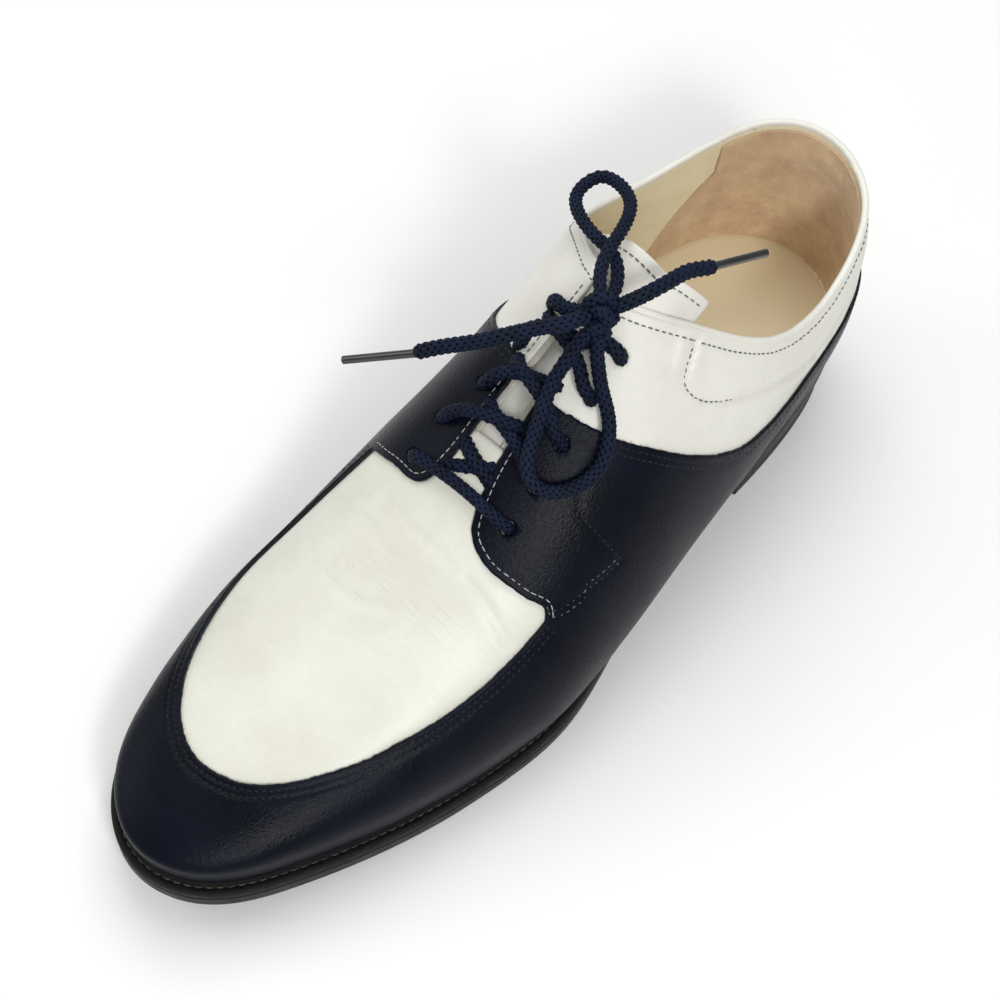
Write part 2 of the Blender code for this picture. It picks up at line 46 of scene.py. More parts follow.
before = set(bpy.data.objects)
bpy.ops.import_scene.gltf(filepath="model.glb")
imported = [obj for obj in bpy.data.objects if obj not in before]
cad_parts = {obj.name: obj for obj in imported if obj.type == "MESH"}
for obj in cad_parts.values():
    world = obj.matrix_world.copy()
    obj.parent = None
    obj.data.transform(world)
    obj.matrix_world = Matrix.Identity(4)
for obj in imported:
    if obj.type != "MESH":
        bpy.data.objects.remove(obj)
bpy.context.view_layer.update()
MM = 0.001

# The last, in mm, as in the part's source: the feather line seen from above, and the sections
FEATHER_LINE = [(-5, 30), (21, 22), (33, -4), (35.7, -50), (36.5, -95), (45, -136.5), (43.5, -165),
                (35, -199), (22.5, -231), (8.5, -252.5), (-10, -258.5), (-28, -248), (-40, -224.5),
                (-47.5, -190), (-47, -165), (-41, -130), (-34.5, -100), (-33.5, -75), (-34.5, -45),
                (-33.5, -5), (-23.5, 20.5)]
SECTION_COLUMNS = ("along", "spine", "seat", "belly", "crest", "full_lateral", "full_medial",
                   "swell_lateral", "swell_medial")
SECTIONS = [
    (40, -5, 27, 22, 138.5, 2.1, 2.2, 6.5, 0.5),
    (0, -5, 27, 22, 132, 2.0, 2.1, 5.5, 1.5),
    (-40, -5, 25, 21.5, 123, 1.9, 2.0, 8, 6.5),
    (-70, -5, 20, 21.5, 112.5, 1.85, 1.9, 11, 8.5),
    (-100, -4.5, 14, 20, 96, 1.9, 1.9, 11.5, 9.5),
    (-130, -3.5, 10, 16, 77.5, 2.0, 2.0, 6.5, 7),
    (-165, -5, 8, 13, 58, 2.0, 2.0, 3.5, 3.5),
    (-200, -7, 9.5, 12, 44.5, 2.2, 2.2, 3, 2),
    (-230, -8.5, 13, 11, 37.5, 2.3, 2.3, 2.5, 2),
    (-262, -10, 18, 10, 33, 2.4, 2.4, 2, 2),
]
END_ZONE = 62
END_SLOPE = 0.25

# Edges seen from the side: place along, height on the lateral side, height on the medial side
TOPLINE = [(40, 93.5, 93.5), (10, 82, 78.5), (-15, 78, 76), (-40, 85, 86), (-54, 94.8, 98),
           (-62, 101.2, 106.5), (-70, 106.3, 111), (-80, 110.5, 112)]
TOP_FRONT = -76
SADDLE_EDGE = [(-106, 93, 97), (-99, 87, 93.5), (-94, 83.5, 88.6), (-85, 76.5, 78.5), (-73.5, 67.5, 69),
               (-60.5, 59, 60), (-47, 54.5, 54.5), (-29, 53.2, 53.2), (-14, 53.5, 53.5), (10, 53.8, 53.8),
               (40, 54, 54)]
SADDLE_FRONT = -106

# Seams, as points near the surface
FACING_SEAM = [(35.3, -140, 57), (38.1, -136.6, 55.9), (40, -128.1, 57.3), (41.3, -120.9, 58.1),
               (41.7, -114, 59.5)]
FACING_DOTS = [(41.7, -114, 59.5), (38.2, -115.8, 65), (33.8, -116.8, 69.1), (28.1, -117.5, 73.9),
               (24.8, -114.7, 77.6), (22.6, -109.5, 81.5), (21.6, -104, 84.9)]
COLLAR_PAD = [(23.7, -64.7, 100), (26, -70.2, 95.5), (28.3, -73.5, 91.7), (31.4, -73, 87.7),
              (34.7, -69.1, 83.5), (38.2, -60, 78.3), (41.1, -42.7, 69.8), (41, -21.9, 61), (38.2, -2, 61.5)]
SEWN_PAD_POINTS = 6
BAR_TACK = [(29.4, -131.9, 65.8), (28.3, -139.1, 62.9)]

# Outline of the apron and of the throat, seen from above
APRON = [(37.2, -141.6), (36.7, -151.7), (34.7, -166.4), (31.6, -179.9), (27.6, -191.9), (23.2, -203),
         (18.9, -210.7), (12.9, -219.8), (2.5, -229.3), (-7.8, -232.5), (-14.7, -232.1), (-22.4, -228.7),
         (-28.5, -223.7), (-35.4, -214.7), (-40.6, -204), (-45.1, -189.7), (-47, -173.4), (-45, -157.9),
         (-41.2, -145), (-37.3, -134.4)]
MEDIAL_FRONT = [(-37.3, -134.4), (-30.5, -137), (-23.2, -138.6), (-16.3, -139.7), (-12.6, -137.4),
                (-11.1, -133.9)]
MEDIAL_THROAT = [(-11.1, -133.9), (-10.1, -126.5), (-9.7, -110.7), (-8.6, -98), (-7.7, -86), (-7.4, -76),
                 (-9.5, -71.5), (-13, -68.8)]
LATERAL_THROAT = [(3.2, -59), (1.4, -70), (1.0, -85), (0.6, -98), (0.9, -110.2), (2.1, -124.9),
                  (4.6, -135.3)]
LATERAL_FRONT = [(4.6, -135.3), (6.5, -139.5), (9.1, -142.3), (13.9, -144.1), (18.6, -144.6),
                 (24.9, -143.5), (30.8, -141.8), (35.2, -139.9), (37.2, -141.6)]

# Creases across the toe's bend: route seen from above, and depth
PLUG_CREASES = [
    ([(-36.3, -151.6), (-27.3, -154), (-18.9, -155.3), (-7.7, -158.9)], 0.4),
    ([(-33.2, -168.5), (-21.2, -172.2), (-9.6, -173.5), (1.8, -169)], 0.45),
    ([(-21.7, -147.2), (-14.7, -148.4), (-8.5, -149.6), (8.6, -150.3)], 0.4),
    ([(14.3, -150.2), (24.6, -151.5), (33.5, -153)], 0.4),
    ([(-10, -184), (4, -181), (18, -177)], 0.15),
]

# Pairs of eyelets: place along, and distance from the spine on the lateral and on the medial side
EYELETS = [(-134, 19, 18), (-122, 18.5, 18), (-110, 17.6, 12.8), (-97, 17, 10.8), (-84.5, 17, 8.8)]
EYELET_RADIUS = 2.3

# Rows of stitches: distances from the edge that they follow
SEAM_ROWS = (1.9, 3.9)
FACING_ROW = 2.2
COLLAR_ROW = 3.6
TONGUE_ROW = 3.3
FIBRE_STEP = 0.7

# Distances in mm under which corners merge: of panels, and of all other pieces
PANEL_MERGE = 0.0005
MERGE = 0.00001

# Depths of the layers under the lasted surface
NAVY_DEPTH = (0.0, 1.3)
WHITE_DEPTH = (1.0, 2.2)
LINING_DEPTH = (2.3, 2.9)
COUNTER_DEPTH = (2.95, 3.35)
TONGUE_DEPTH = (3.6, 5.3)
LAP = 5
WALL_DEPTH = 2.7

# Ends of the panels: places along, and the tongue's border up the last
APRON_BACK = -141
PLUG_BACK = -121
QUARTER_FRONT = -112
TONGUE_FRONT = -141
TONGUE_BACK = -60.5
TONGUE_SLANT = 0.42
TONGUE_LEVEL = 0.62

# Sole
WELT_THICKNESS = 3
WELT_INSIDE = 9
SOLE_DEPTH = 8.6
HEEL_BREAST = -42
HEEL_TOP_HEIGHT = 6
HEEL_TAPER = 1.2
HEEL_LIFTS = 3
SOLE_STEPS = 150
SOCK_HEIGHT = 2.9

# The bow's routes, how far from the knot's middle each starts and a loop ends, and the wraps' shift
KNOT = (5.1, -86.5, 117)
KNOT_IN = 3.4
KNOT_OUT = 5.5
KNOT_SAG = (0.1, -1.0, -0.5)
LOOP_UP = [(1.3, -83.3, 121.2), (-2.1, -79.1, 120.9), (-5, -73.2, 121.1), (-9, -60.2, 118.5),
           (-15.8, -49, 114), (-24.9, -43.7, 109.7), (-30.8, -44.1, 107.1), (-31.6, -52, 107.2),
           (-24.6, -60.7, 111), (-14.4, -66, 114.5), (-7.3, -67.9, 115.6), (-2, -71.3, 115.9),
           (1.5, -76.1, 115.1)]
LOOP_DOWN = [(7.9, -91, 109.6), (10.5, -92.8, 103.1), (14.3, -95.1, 98.1), (18.9, -97.6, 94.1),
             (22.9, -101.4, 89.9), (25.6, -107.8, 85.2), (24.6, -114.1, 82.6), (21.4, -121.1, 82.9),
             (17.8, -125.3, 86.5), (13.8, -125, 89.8), (10.7, -121.2, 92.9), (8.2, -115.8, 95.7),
             (6.2, -110.6, 99.3), (4.6, -105.1, 103), (4.1, -100, 106.3), (4.1, -94.6, 109.7)]
END_LEFT = [(0.7, -97.1, 119), (-3.4, -102.6, 118.5), (-8.8, -108.5, 116.5), (-15, -113.6, 112.5),
            (-24.6, -119.1, 106), (-30.8, -122.9, 101)]
END_RIGHT = [(10.8, -77.9, 121), (13.2, -67.8, 120.5), (14.3, -60, 118.5), (16.3, -54.7, 116.5),
             (17.1, -51.6, 115.2)]
AGLET_LEFT = [(-31.1, -123, 100.7), (-49.9, -131.6, 88)]
AGLET_RIGHT = [(16.4, -54.4, 116.4), (22.1, -33.2, 108)]
AGLET_RADIUS = 1.25
AGLET_OVERLAP = 1.5
# Depth under the surface of a strand's hidden ends, inside the eyelets
TUCKED = -4.5
# Braid: strands round the lace, and their pitch along it
BRAID = (5, 2.4)

# Camera fitted to the shoe's outline
CAMERA_PLACE = (177.6, -345.5, 543.1)
CAMERA_AZIMUTH = 38.106
CAMERA_ELEVATION = 59.666
CAMERA_ROLL = 3.995
CAMERA_LENS = 69.56

# Stage, in metres: half the floor's side, what the lamps look at, and each lamp's place, size and power
FLOOR_HALF = 3.0
LIT_POINT = (0, -0.11, 0.05)
LAMPS = {
    "overhead_softbox": ((-0.3, 0.25, 1.0), 0.8, 6.2),
    "front_softbox": ((0.75, -0.75, 0.95), 0.5, 5.0),
    "side_lamp": ((0.64, -0.47, 0.8), 0.16, 2.6),
    "left_softbox": ((-0.9, -0.6, 0.6), 0.6, 2.2),
}


def linear(code):
    """sRGB hex colour as linear red, green, blue and alpha."""
    parts = [int(code[i:i + 2], 16) / 255 for i in (1, 3, 5)]
    return tuple(c / 12.92 if c <= 0.04045 else ((c + 0.055) / 1.055)**2.4 for c in parts) + (1.0,)


def spline(xs, ys):
    """Natural cubic through points given in any order."""
    order = np.argsort(xs)
    xs = np.asarray(xs, float)[order]
    ys = np.asarray(ys, float)[order]
    count = len(xs)
    step = np.diff(xs)
    system = np.eye(count)
    right = np.zeros(count)
    for i in range(1, count - 1):
        system[i, i - 1:i + 2] = step[i - 1], 2 * (step[i - 1] + step[i]), step[i]
        right[i] = 6 * ((ys[i + 1] - ys[i]) / step[i] - (ys[i] - ys[i - 1]) / step[i - 1])
    bend = np.linalg.solve(system, right)

    def value(x):
        x = np.asarray(x, float)
        i = np.clip(np.searchsorted(xs, x) - 1, 0, count - 2)
        before = x - xs[i]
        after = xs[i + 1] - x
        cubic = (bend[i] * after**3 + bend[i + 1] * before**3) / (6 * step[i])
        line = (ys[i] / step[i] - bend[i] * step[i] / 6) * after
        return cubic + line + (ys[i + 1] / step[i] - bend[i + 1] * step[i] / 6) * before
    return value


def closed_curve(points):
    """Smooth closed curve through the points, by a parameter that runs from 0 to 1."""
    ring = np.array(points[-3:] + points + points[:4], float)
    chords = np.linalg.norm(np.diff(ring, axis=0), axis=1)
    knots = np.concatenate([[0], np.cumsum(np.sqrt(chords))])
    start = knots[3]
    span = knots[3 + len(points)] - start
    across = spline(knots, ring[:, 0])
    along = spline(knots, ring[:, 1])

    def place(u):
        knot = start + span * np.mod(u, 1)
        return np.stack([across(knot), along(knot)], -1)
    return place


def drawn(points, step=0.5):
    """Smooth open curve through the points, sampled at an even step."""
    points = np.asarray(points, float)
    chords = np.linalg.norm(np.diff(points, axis=0), axis=1)
    knots = np.concatenate([[0], np.cumsum(np.sqrt(chords))])
    fine = np.linspace(0, knots[-1], 40 * len(points))
    if len(points) > 2:
        curve = np.stack([spline(knots, points[:, axis])(fine) for axis in range(points.shape[1])], -1)
    else:
        curve = points[0] + (points[1] - points[0]) * (fine / knots[-1])[:, None]
    run = run_along(curve)
    even = np.linspace(0, run[-1], max(2, int(round(run[-1] / step)) + 1))
    return np.stack([np.interp(even, run, curve[:, axis]) for axis in range(points.shape[1])], -1)


def run_along(line):
    """Distance of each point from the line's start."""
    return np.concatenate([[0], np.cumsum(np.linalg.norm(np.diff(line, axis=0), axis=1))])


def tree_of(points, chosen=None):
    """Search tree of all the points, or of the chosen ones."""
    tree = KDTree(len(points))
    for i in range(len(points)) if chosen is None else chosen:
        tree.insert(points[i], int(i))
    tree.balance()
    return tree


def unit(vectors):
    return vectors / np.maximum(np.linalg.norm(vectors, axis=-1, keepdims=True), 1e-9)


class Last:
    """The lasted surface: ribs rise from the feather line to the spine, each a rounded section."""

    def __init__(self):
        table = np.array(SECTIONS, float)
        for column, name in enumerate(SECTION_COLUMNS[1:], start=1):
            setattr(self, name, spline(table[:, 0], table[:, column]))
        self.outline = closed_curve(FEATHER_LINE)
        samples = np.linspace(0, 1, 4001)
        along = self.outline(samples)[:, 1]
        self.back_u = samples[np.argmax(along)]
        self.tip_u = samples[np.argmin(along)]
        self.back = along.max()
        self.tip = along.min()

    def u_at(self, y, lateral):
        """Parameter of the feather line at a place along, on one side."""
        first = self.back_u if lateral else self.back_u + (self.back_u < 0.5)
        samples = np.linspace(first, self.tip_u, 2001)
        return np.interp(-np.asarray(y, float), -self.outline(samples)[:, 1], samples)

    def along(self, count):
        """Places along the shoe from back to tip, that crowd together at both ends."""
        turn = np.linspace(0, np.pi, count)
        return (self.back + self.tip) / 2 + (self.back - self.tip) / 2 * np.cos(turn)

    def round_us(self, ys):
        """Parameters at the places along, down the lateral side and back up the medial side."""
        returning = ys[-2:0:-1] if ys[-1] < self.tip + 1 else ys[::-1]
        return np.concatenate([self.u_at(ys, True), self.u_at(returning, False)])

    def anchor(self, y):
        bend = (1 - END_SLOPE) / END_ZONE / 2
        heel = np.maximum(y - (self.back - END_ZONE), 0)
        toe = np.maximum(self.tip + END_ZONE - y, 0)
        return y - bend * heel**2 + bend * toe**2

    def point(self, u, t):
        """t runs from -1 at the feather line through 0 at the widest line to 1 on the spine."""
        u, t = np.broadcast_arrays(np.asarray(u, float), np.asarray(t, float))
        foot = self.outline(u)
        y = foot[..., 1]
        top_y = self.anchor(y)
        top = np.stack([self.spine(top_y), top_y], -1)
        reach = np.linalg.norm(foot - top, axis=-1)
        out = (foot - top) / reach[..., None]
        side = 0.5 + 0.5 * np.sin(np.clip(out[..., 0] / 0.8, -1, 1) * np.pi / 2)
        swell = self.swell_medial(y) * (1 - side) + self.swell_lateral(y) * side
        full = self.full_medial(y) * (1 - side) + self.full_lateral(y) * side
        low = np.clip(t, -1, 0) * np.pi / 2
        high = np.clip(t, 0, 1) * np.pi / 2
        radius = np.where(t < 0, reach + swell * np.cos(low), (reach + swell) * np.cos(high)**(2 / full))
        flat = top + out * radius[..., None]
        widest = self.seat(y) + self.belly(y)
        rise = np.where(t < 0, self.belly(y) * np.sin(low),
                        (self.crest(flat[..., 1]) - widest) * np.sin(high)**(2 / full))
        return np.concatenate([flat, (widest + rise)[..., None]], -1)

    def outward(self, u):
        along = self.outline(u + 0.001) - self.outline(u - 0.001)
        return unit(np.stack([-along[..., 1], along[..., 0]], -1))

    def normal(self, u, t):
        t = np.clip(np.asarray(t, float), -0.995, 0.995)
        up = self.point(u, t + 0.005) - self.point(u, t - 0.005)
        round_shoe = self.point(u + 0.0005, t) - self.point(u - 0.0005, t)
        return unit(np.cross(up, round_shoe))

    def level(self, u, reached):
        t = np.linspace(0.02, 1, 400)
        hits = np.flatnonzero(reached(self.point(u, t)))
        return float(t[hits[0]]) if len(hits) else 1.0

    def on_top(self, y, offset):
        """Point and normal of the surface at a distance across from the spine, lateral positive."""
        u = float(self.u_at(y, offset > 0))
        t = self.level(u, lambda p: np.abs(p[:, 0] - self.spine(y)) <= abs(offset))
        return self.point(u, t), self.normal(u, t)

    def at_height(self, y, height, lateral):
        u = float(self.u_at(y, lateral))
        return self.point(u, self.level(u, lambda p: p[:, 2] >= height))


LAST = Last()


class Skin:
    """The lasted surface as a fine net, from which the panels are cut."""

    SIDE = 345
    ROWS = 126

    def __init__(self):
        us = LAST.round_us(LAST.along(self.SIDE))
        columns = len(us)
        levels = np.linspace(-1, 1, self.ROWS)
        self.points = LAST.point(us[:, None], levels[None])
        self.normals = LAST.normal(us[:, None], levels[None])
        partner = (-np.arange(columns)) % columns
        self.points[:, -1] = (self.points[:, -1] + self.points[partner, -1]) / 2
        self.normals[:, -1] = unit(self.normals[:, -1] + self.normals[partner, -1])
        self.level = np.broadcast_to(levels[None], self.points.shape[:2])
        number = np.arange(columns * self.ROWS).reshape(columns, self.ROWS)
        number[self.SIDE:, -1] = number[partner[self.SIDE:], -1]
        after = np.roll(number, -1, 0)
        self.quads = np.stack([number[:, :-1], number[:, 1:], after[:, 1:], after[:, :-1]], -1).reshape(-1, 4)
        self.flat = self.points.reshape(-1, 3)
        self.flat_normals = self.normals.reshape(-1, 3)
        self.tree = tree_of(self.flat)
        self.plan = tree_of(self.flat * (1, 1, 0), np.flatnonzero(self.level.reshape(-1) > 0.05))

    def onto(self, places, depth=0.0):
        """Places moved onto the surface, or to a depth under it, with the normals there."""
        near = [self.tree.find(place)[1] for place in places]
        base = self.flat[near]
        normals = self.flat_normals[near]
        places = np.asarray(places, float)
        away = ((places - base) * normals).sum(-1, keepdims=True)
        return places - normals * (away + depth), normals

    def above(self, plan):
        """Surface points over places seen from above."""
        near = [self.plan.find((x, y, 0))[1] for x, y in plan]
        base = self.flat[near]
        normals = self.flat_normals[near]
        shift = np.asarray(plan, float) - base[:, :2]
        height = base[:, 2] - (normals[:, :2] * shift).sum(-1) / np.maximum(normals[:, 2], 0.2)
        return self.onto(np.column_stack([plan, height]))[0]


SKIN = Skin()


def within(plan, loop):
    """Which places lie inside a closed loop, both seen from above."""
    inside = np.zeros(len(plan), bool)
    x, y = plan[:, 0], plan[:, 1]
    for (ax, ay), (bx, by) in zip(loop, np.roll(loop, -1, 0)):
        if ay == by:
            continue
        crosses = (ay > y) != (by > y)
        inside ^= crosses & (x < (bx - ax) * (y - ay) / (by - ay) + ax)
    return inside


def distance_to(line, places):
    """Distance in mm from each place to a line of points."""
    line = np.asarray(line, float)
    tree = tree_of(line)
    near = np.array([tree.find(place)[1] for place in places])
    best = np.full(len(places), 1e9)
    for first in (near - 1, near):
        first = np.clip(first, 0, len(line) - 2)
        start, end = line[first], line[first + 1]
        along = end - start
        share = ((places - start) * along).sum(-1) / np.maximum((along * along).sum(-1), 1e-9)
        foot = start + along * np.clip(share, 0, 1)[:, None]
        best = np.minimum(best, np.linalg.norm(places - foot, axis=1))
    return best


def edge_height(table, y, lateral):
    """Height of an edge at a place along. The two sides' heights run together at the back of the heel."""
    sides = [spline([row[0] for row in table], [row[side] for row in table])(y) for side in (1, 2)]
    together = np.clip((np.asarray(y, float) - 12) / 16, 0, 1)
    middle = (sides[0] + sides[1]) / 2
    return np.where(lateral, sides[0], sides[1]) * (1 - together) + middle * together


def below(table, places):
    """Which places lie under an edge, each on its own side of the shoe."""
    lateral = places[:, 0] > LAST.spine(places[:, 1])
    return places[:, 2] < edge_height(table, places[:, 1], lateral)


def both_sides(table, ys):
    """Line from the front on the lateral side, round the heel, to the front on the medial side."""
    lateral = [LAST.at_height(y, float(edge_height(table, y, True)), True) for y in ys]
    medial = [LAST.at_height(y, float(edge_height(table, y, False)), False) for y in ys]
    return drawn(np.array(lateral + medial[-2::-1]))


def stretch(first, last, count=46):
    """Places along the shoe that crowd together at its round back end."""
    share = np.sin(np.linspace(0, np.pi / 2, count))
    return first + (last - first) * share


PLAN_APRON = drawn(APRON)
PLAN_MEDIAL = np.vstack([drawn(MEDIAL_FRONT)[:-1], drawn(MEDIAL_THROAT)])
PLAN_LATERAL = np.vstack([drawn(LATERAL_THROAT)[:-1], drawn(LATERAL_FRONT)])
OPENING = np.vstack([PLAN_APRON, PLAN_MEDIAL, [(-16, -60), (-10, -40), (0, -40)], PLAN_LATERAL])
LINE_APRON = SKIN.above(PLAN_APRON)
LINE_MEDIAL = SKIN.above(PLAN_MEDIAL)
LINE_LATERAL = SKIN.above(PLAN_LATERAL)
LINE_SADDLE = both_sides(SADDLE_EDGE, stretch(SADDLE_FRONT, LAST.back))

LINE_SEAM = SKIN.onto(drawn(FACING_SEAM))[0]
LINE_DOTS = SKIN.onto(drawn(FACING_DOTS))[0]
LINE_TOP = both_sides(TOPLINE, stretch(TOP_FRONT, LAST.back, 60))
EYELET_PLACES = [LAST.on_top(y, side) for y, lateral, medial in EYELETS for side in (lateral, -medial)]


def smooth_noise(places, size, seed):
    """Soft random waves between -1 and 1, of about a size in mm."""
    rng = np.random.default_rng(seed)
    total = np.zeros(len(places))
    for _ in range(9):
        direction = unit(rng.normal(size=3)) * rng.uniform(0.6, 1.6) * 2 * np.pi / size
        total += np.sin(places @ direction + rng.uniform(0, 2 * np.pi))
    return total / 4


FINISHED = []


class Panel:
    """Corners and faces cut from the skin, with the distance of each corner to each edge line."""

    FIELDS = ("opening", "saddle", "seam", "top", "eyelets", "along", "level")

    def __init__(self, source):
        self.data = source.copy()
        self.faces = [tuple(face) for face in SKIN.quads.tolist()]

    def column(self, name):
        return self.data[:, 6 + self.FIELDS.index(name)]

    @property
    def places(self):
        return self.data[:, :3]

    def split(self, values, keep_rest=False, snap=0.1):
        """Cuts every face along the line where the values are nought, and drops the part below it."""
        values = np.where(np.abs(values) < snap, 0, values)
        level = values.tolist()
        made = {}
        rows = []
        kept = []

        def crossing(a, b):
            key = (a, b) if a < b else (b, a)
            if key not in made:
                share = level[a] / (level[a] - level[b])
                made[key] = len(self.data) + len(rows)
                rows.append((a, b, share))
            return made[key]

        for face in self.faces:
            signs = [level[i] for i in face]
            if min(signs) >= 0:
                if max(signs) > 0:
                    kept.append(face)
                continue
            if max(signs) <= 0:
                if keep_rest:
                    kept.append(face)
                continue
            upper = []
            lower = []
            for i, j in zip(face, face[1:] + face[:1]):
                if level[i] >= 0:
                    upper.append(i)
                if level[i] <= 0:
                    lower.append(i)
                if level[i] * level[j] < 0:
                    middle = crossing(i, j)
                    upper.append(middle)
                    lower.append(middle)
            kept.append(tuple(upper))
            if keep_rest:
                kept.append(tuple(lower))
        if rows:
            first = np.array([row[0] for row in rows])
            second = np.array([row[1] for row in rows])
            share = np.array([row[2] for row in rows])[:, None]
            self.data = np.vstack([self.data, self.data[first] * (1 - share) + self.data[second] * share])
        self.faces = [face for face in kept if len(face) > 2]

    def tidy(self):
        used = np.unique(np.concatenate([np.array(face) for face in self.faces]))
        lookup = np.full(len(self.data), -1)
        lookup[used] = np.arange(len(used))
        self.data = self.data[used]
        self.faces = [tuple(lookup[list(face)].tolist()) for face in self.faces]

    def cut(self, value_of, rounding=(0.3, 0.9)):
        """Cuts along value 0, and adds two lines of corners beside the edge for its rounding."""
        self.split(value_of(self))
        self.tidy()
        for width in rounding:
            self.split(value_of(self) - width, keep_rest=True, snap=0.05)
        self.tidy()

    def thick(self, name, depths, edge_of, roll, relief=None, inner_relief=None):
        """Object with both faces of the leather and a wall along its cut edges."""
        normals = unit(self.data[:, 3:6])
        edge = np.clip(edge_of(self), 0, roll)
        drop = roll - np.sqrt(np.maximum(roll**2 - (roll - edge)**2, 0))
        raised = relief(self) if relief else 0
        under = inner_relief(self) if inner_relief else 0
        outer = self.places - normals * (depths[0] + drop * 0.9 - raised)[:, None]
        inner = self.places - normals * np.broadcast_to(depths[1] - under, len(normals))[:, None]
        if name in ("vamp", "quarters"):
            FINISHED.append((outer, normals))
        count = len(outer)
        seen = dict.fromkeys((a, b) for face in self.faces for a, b in zip(face, face[1:] + face[:1]))
        rim = [(a, b) for a, b in seen if (b, a) not in seen]
        faces = list(self.faces)
        faces += [tuple(i + count for i in reversed(face)) for face in self.faces]
        walls = [(b, a, a + count, b + count) for a, b in rim]
        piece = new_piece(name, np.vstack([outer, inner]), faces + walls)
        for polygon in piece.data.polygons[len(faces):]:
            polygon.material_index = 1
        return piece


def nearest_of(lines, places):
    """Distance from each place to the nearest of several lines."""
    return np.min([distance_to(line, places) for line in lines], axis=0)


def over_opening(places):
    return within(places[:, :2], OPENING)


def on_white(places):
    """Which places of the skin are white leather, above the saddle's edge."""
    return (places[:, 1] > SADDLE_FRONT) & ~below(SADDLE_EDGE, places)


def skin_data():
    """One row for each corner of the skin: place, normal and the distances to the panels' edges."""
    places = SKIN.flat
    level = SKIN.level.reshape(-1)
    opening = nearest_of((LINE_APRON, LINE_MEDIAL, LINE_LATERAL), places)
    opening = np.where(over_opening(places) & (level > 0.04), -opening, opening)
    saddle = distance_to(LINE_SADDLE, places)
    saddle = np.where(on_white(places), -saddle, saddle)
    seam = nearest_of((LINE_SEAM, LINE_DOTS), places)
    top = distance_to(LINE_TOP, places)
    top = np.where((places[:, 1] > TOP_FRONT) & ~below(TOPLINE, places), -top, top)
    centres = np.min([np.linalg.norm(places - centre, axis=1) for centre, _ in EYELET_PLACES], axis=0)
    return np.column_stack([places, SKIN.flat_normals, opening, saddle, seam, top, centres - EYELET_RADIUS,
                            places[:, 1], level])


SKIN_DATA = skin_data()


def new_piece(name, points, faces):
    """Mesh object in mm made into metres, at the origin, smooth-shaded."""
    mesh = bpy.data.meshes.new(name)
    mesh.from_pydata((np.asarray(points, float) * MM).tolist(), [], [tuple(face) for face in faces])
    mesh.validate()
    piece = bpy.data.objects.new(name, mesh)
    bpy.context.collection.objects.link(piece)
    mesh.shade_smooth()
    return piece


def settle(piece, *nodes, materials=(), angle=None, merge=MERGE):
    """Merges doubles, sets the smooth angle and materials, and ties the piece to the shoe's body."""
    bpy.ops.object.select_all(action="DESELECT")
    bpy.context.view_layer.objects.active = piece
    piece.select_set(True)
    shape = bmesh.new()
    shape.from_mesh(piece.data)
    bmesh.ops.remove_doubles(shape, verts=shape.verts, dist=merge * MM)
    shape.to_mesh(piece.data)
    shape.free()
    if angle:
        bpy.ops.object.shade_smooth_by_angle(angle=math.radians(angle))
    for name in materials:
        piece.data.materials.append(finish_named(name))
    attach(piece, "root")
    if nodes:
        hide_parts(*nodes)
    return piece


def add(tree, kind, values=None, links=None, **settings):
    """Adds one node, with its settings, its sockets' values and its incoming links."""
    node = tree.nodes.new(kind)
    for key, value in settings.items():
        setattr(node, key, value)
    for socket, value in (values or {}).items():
        node.inputs[socket].default_value = value
    for socket, (source, output) in (links or {}).items():
        tree.links.new(source.outputs[output], node.inputs[socket])
    return node


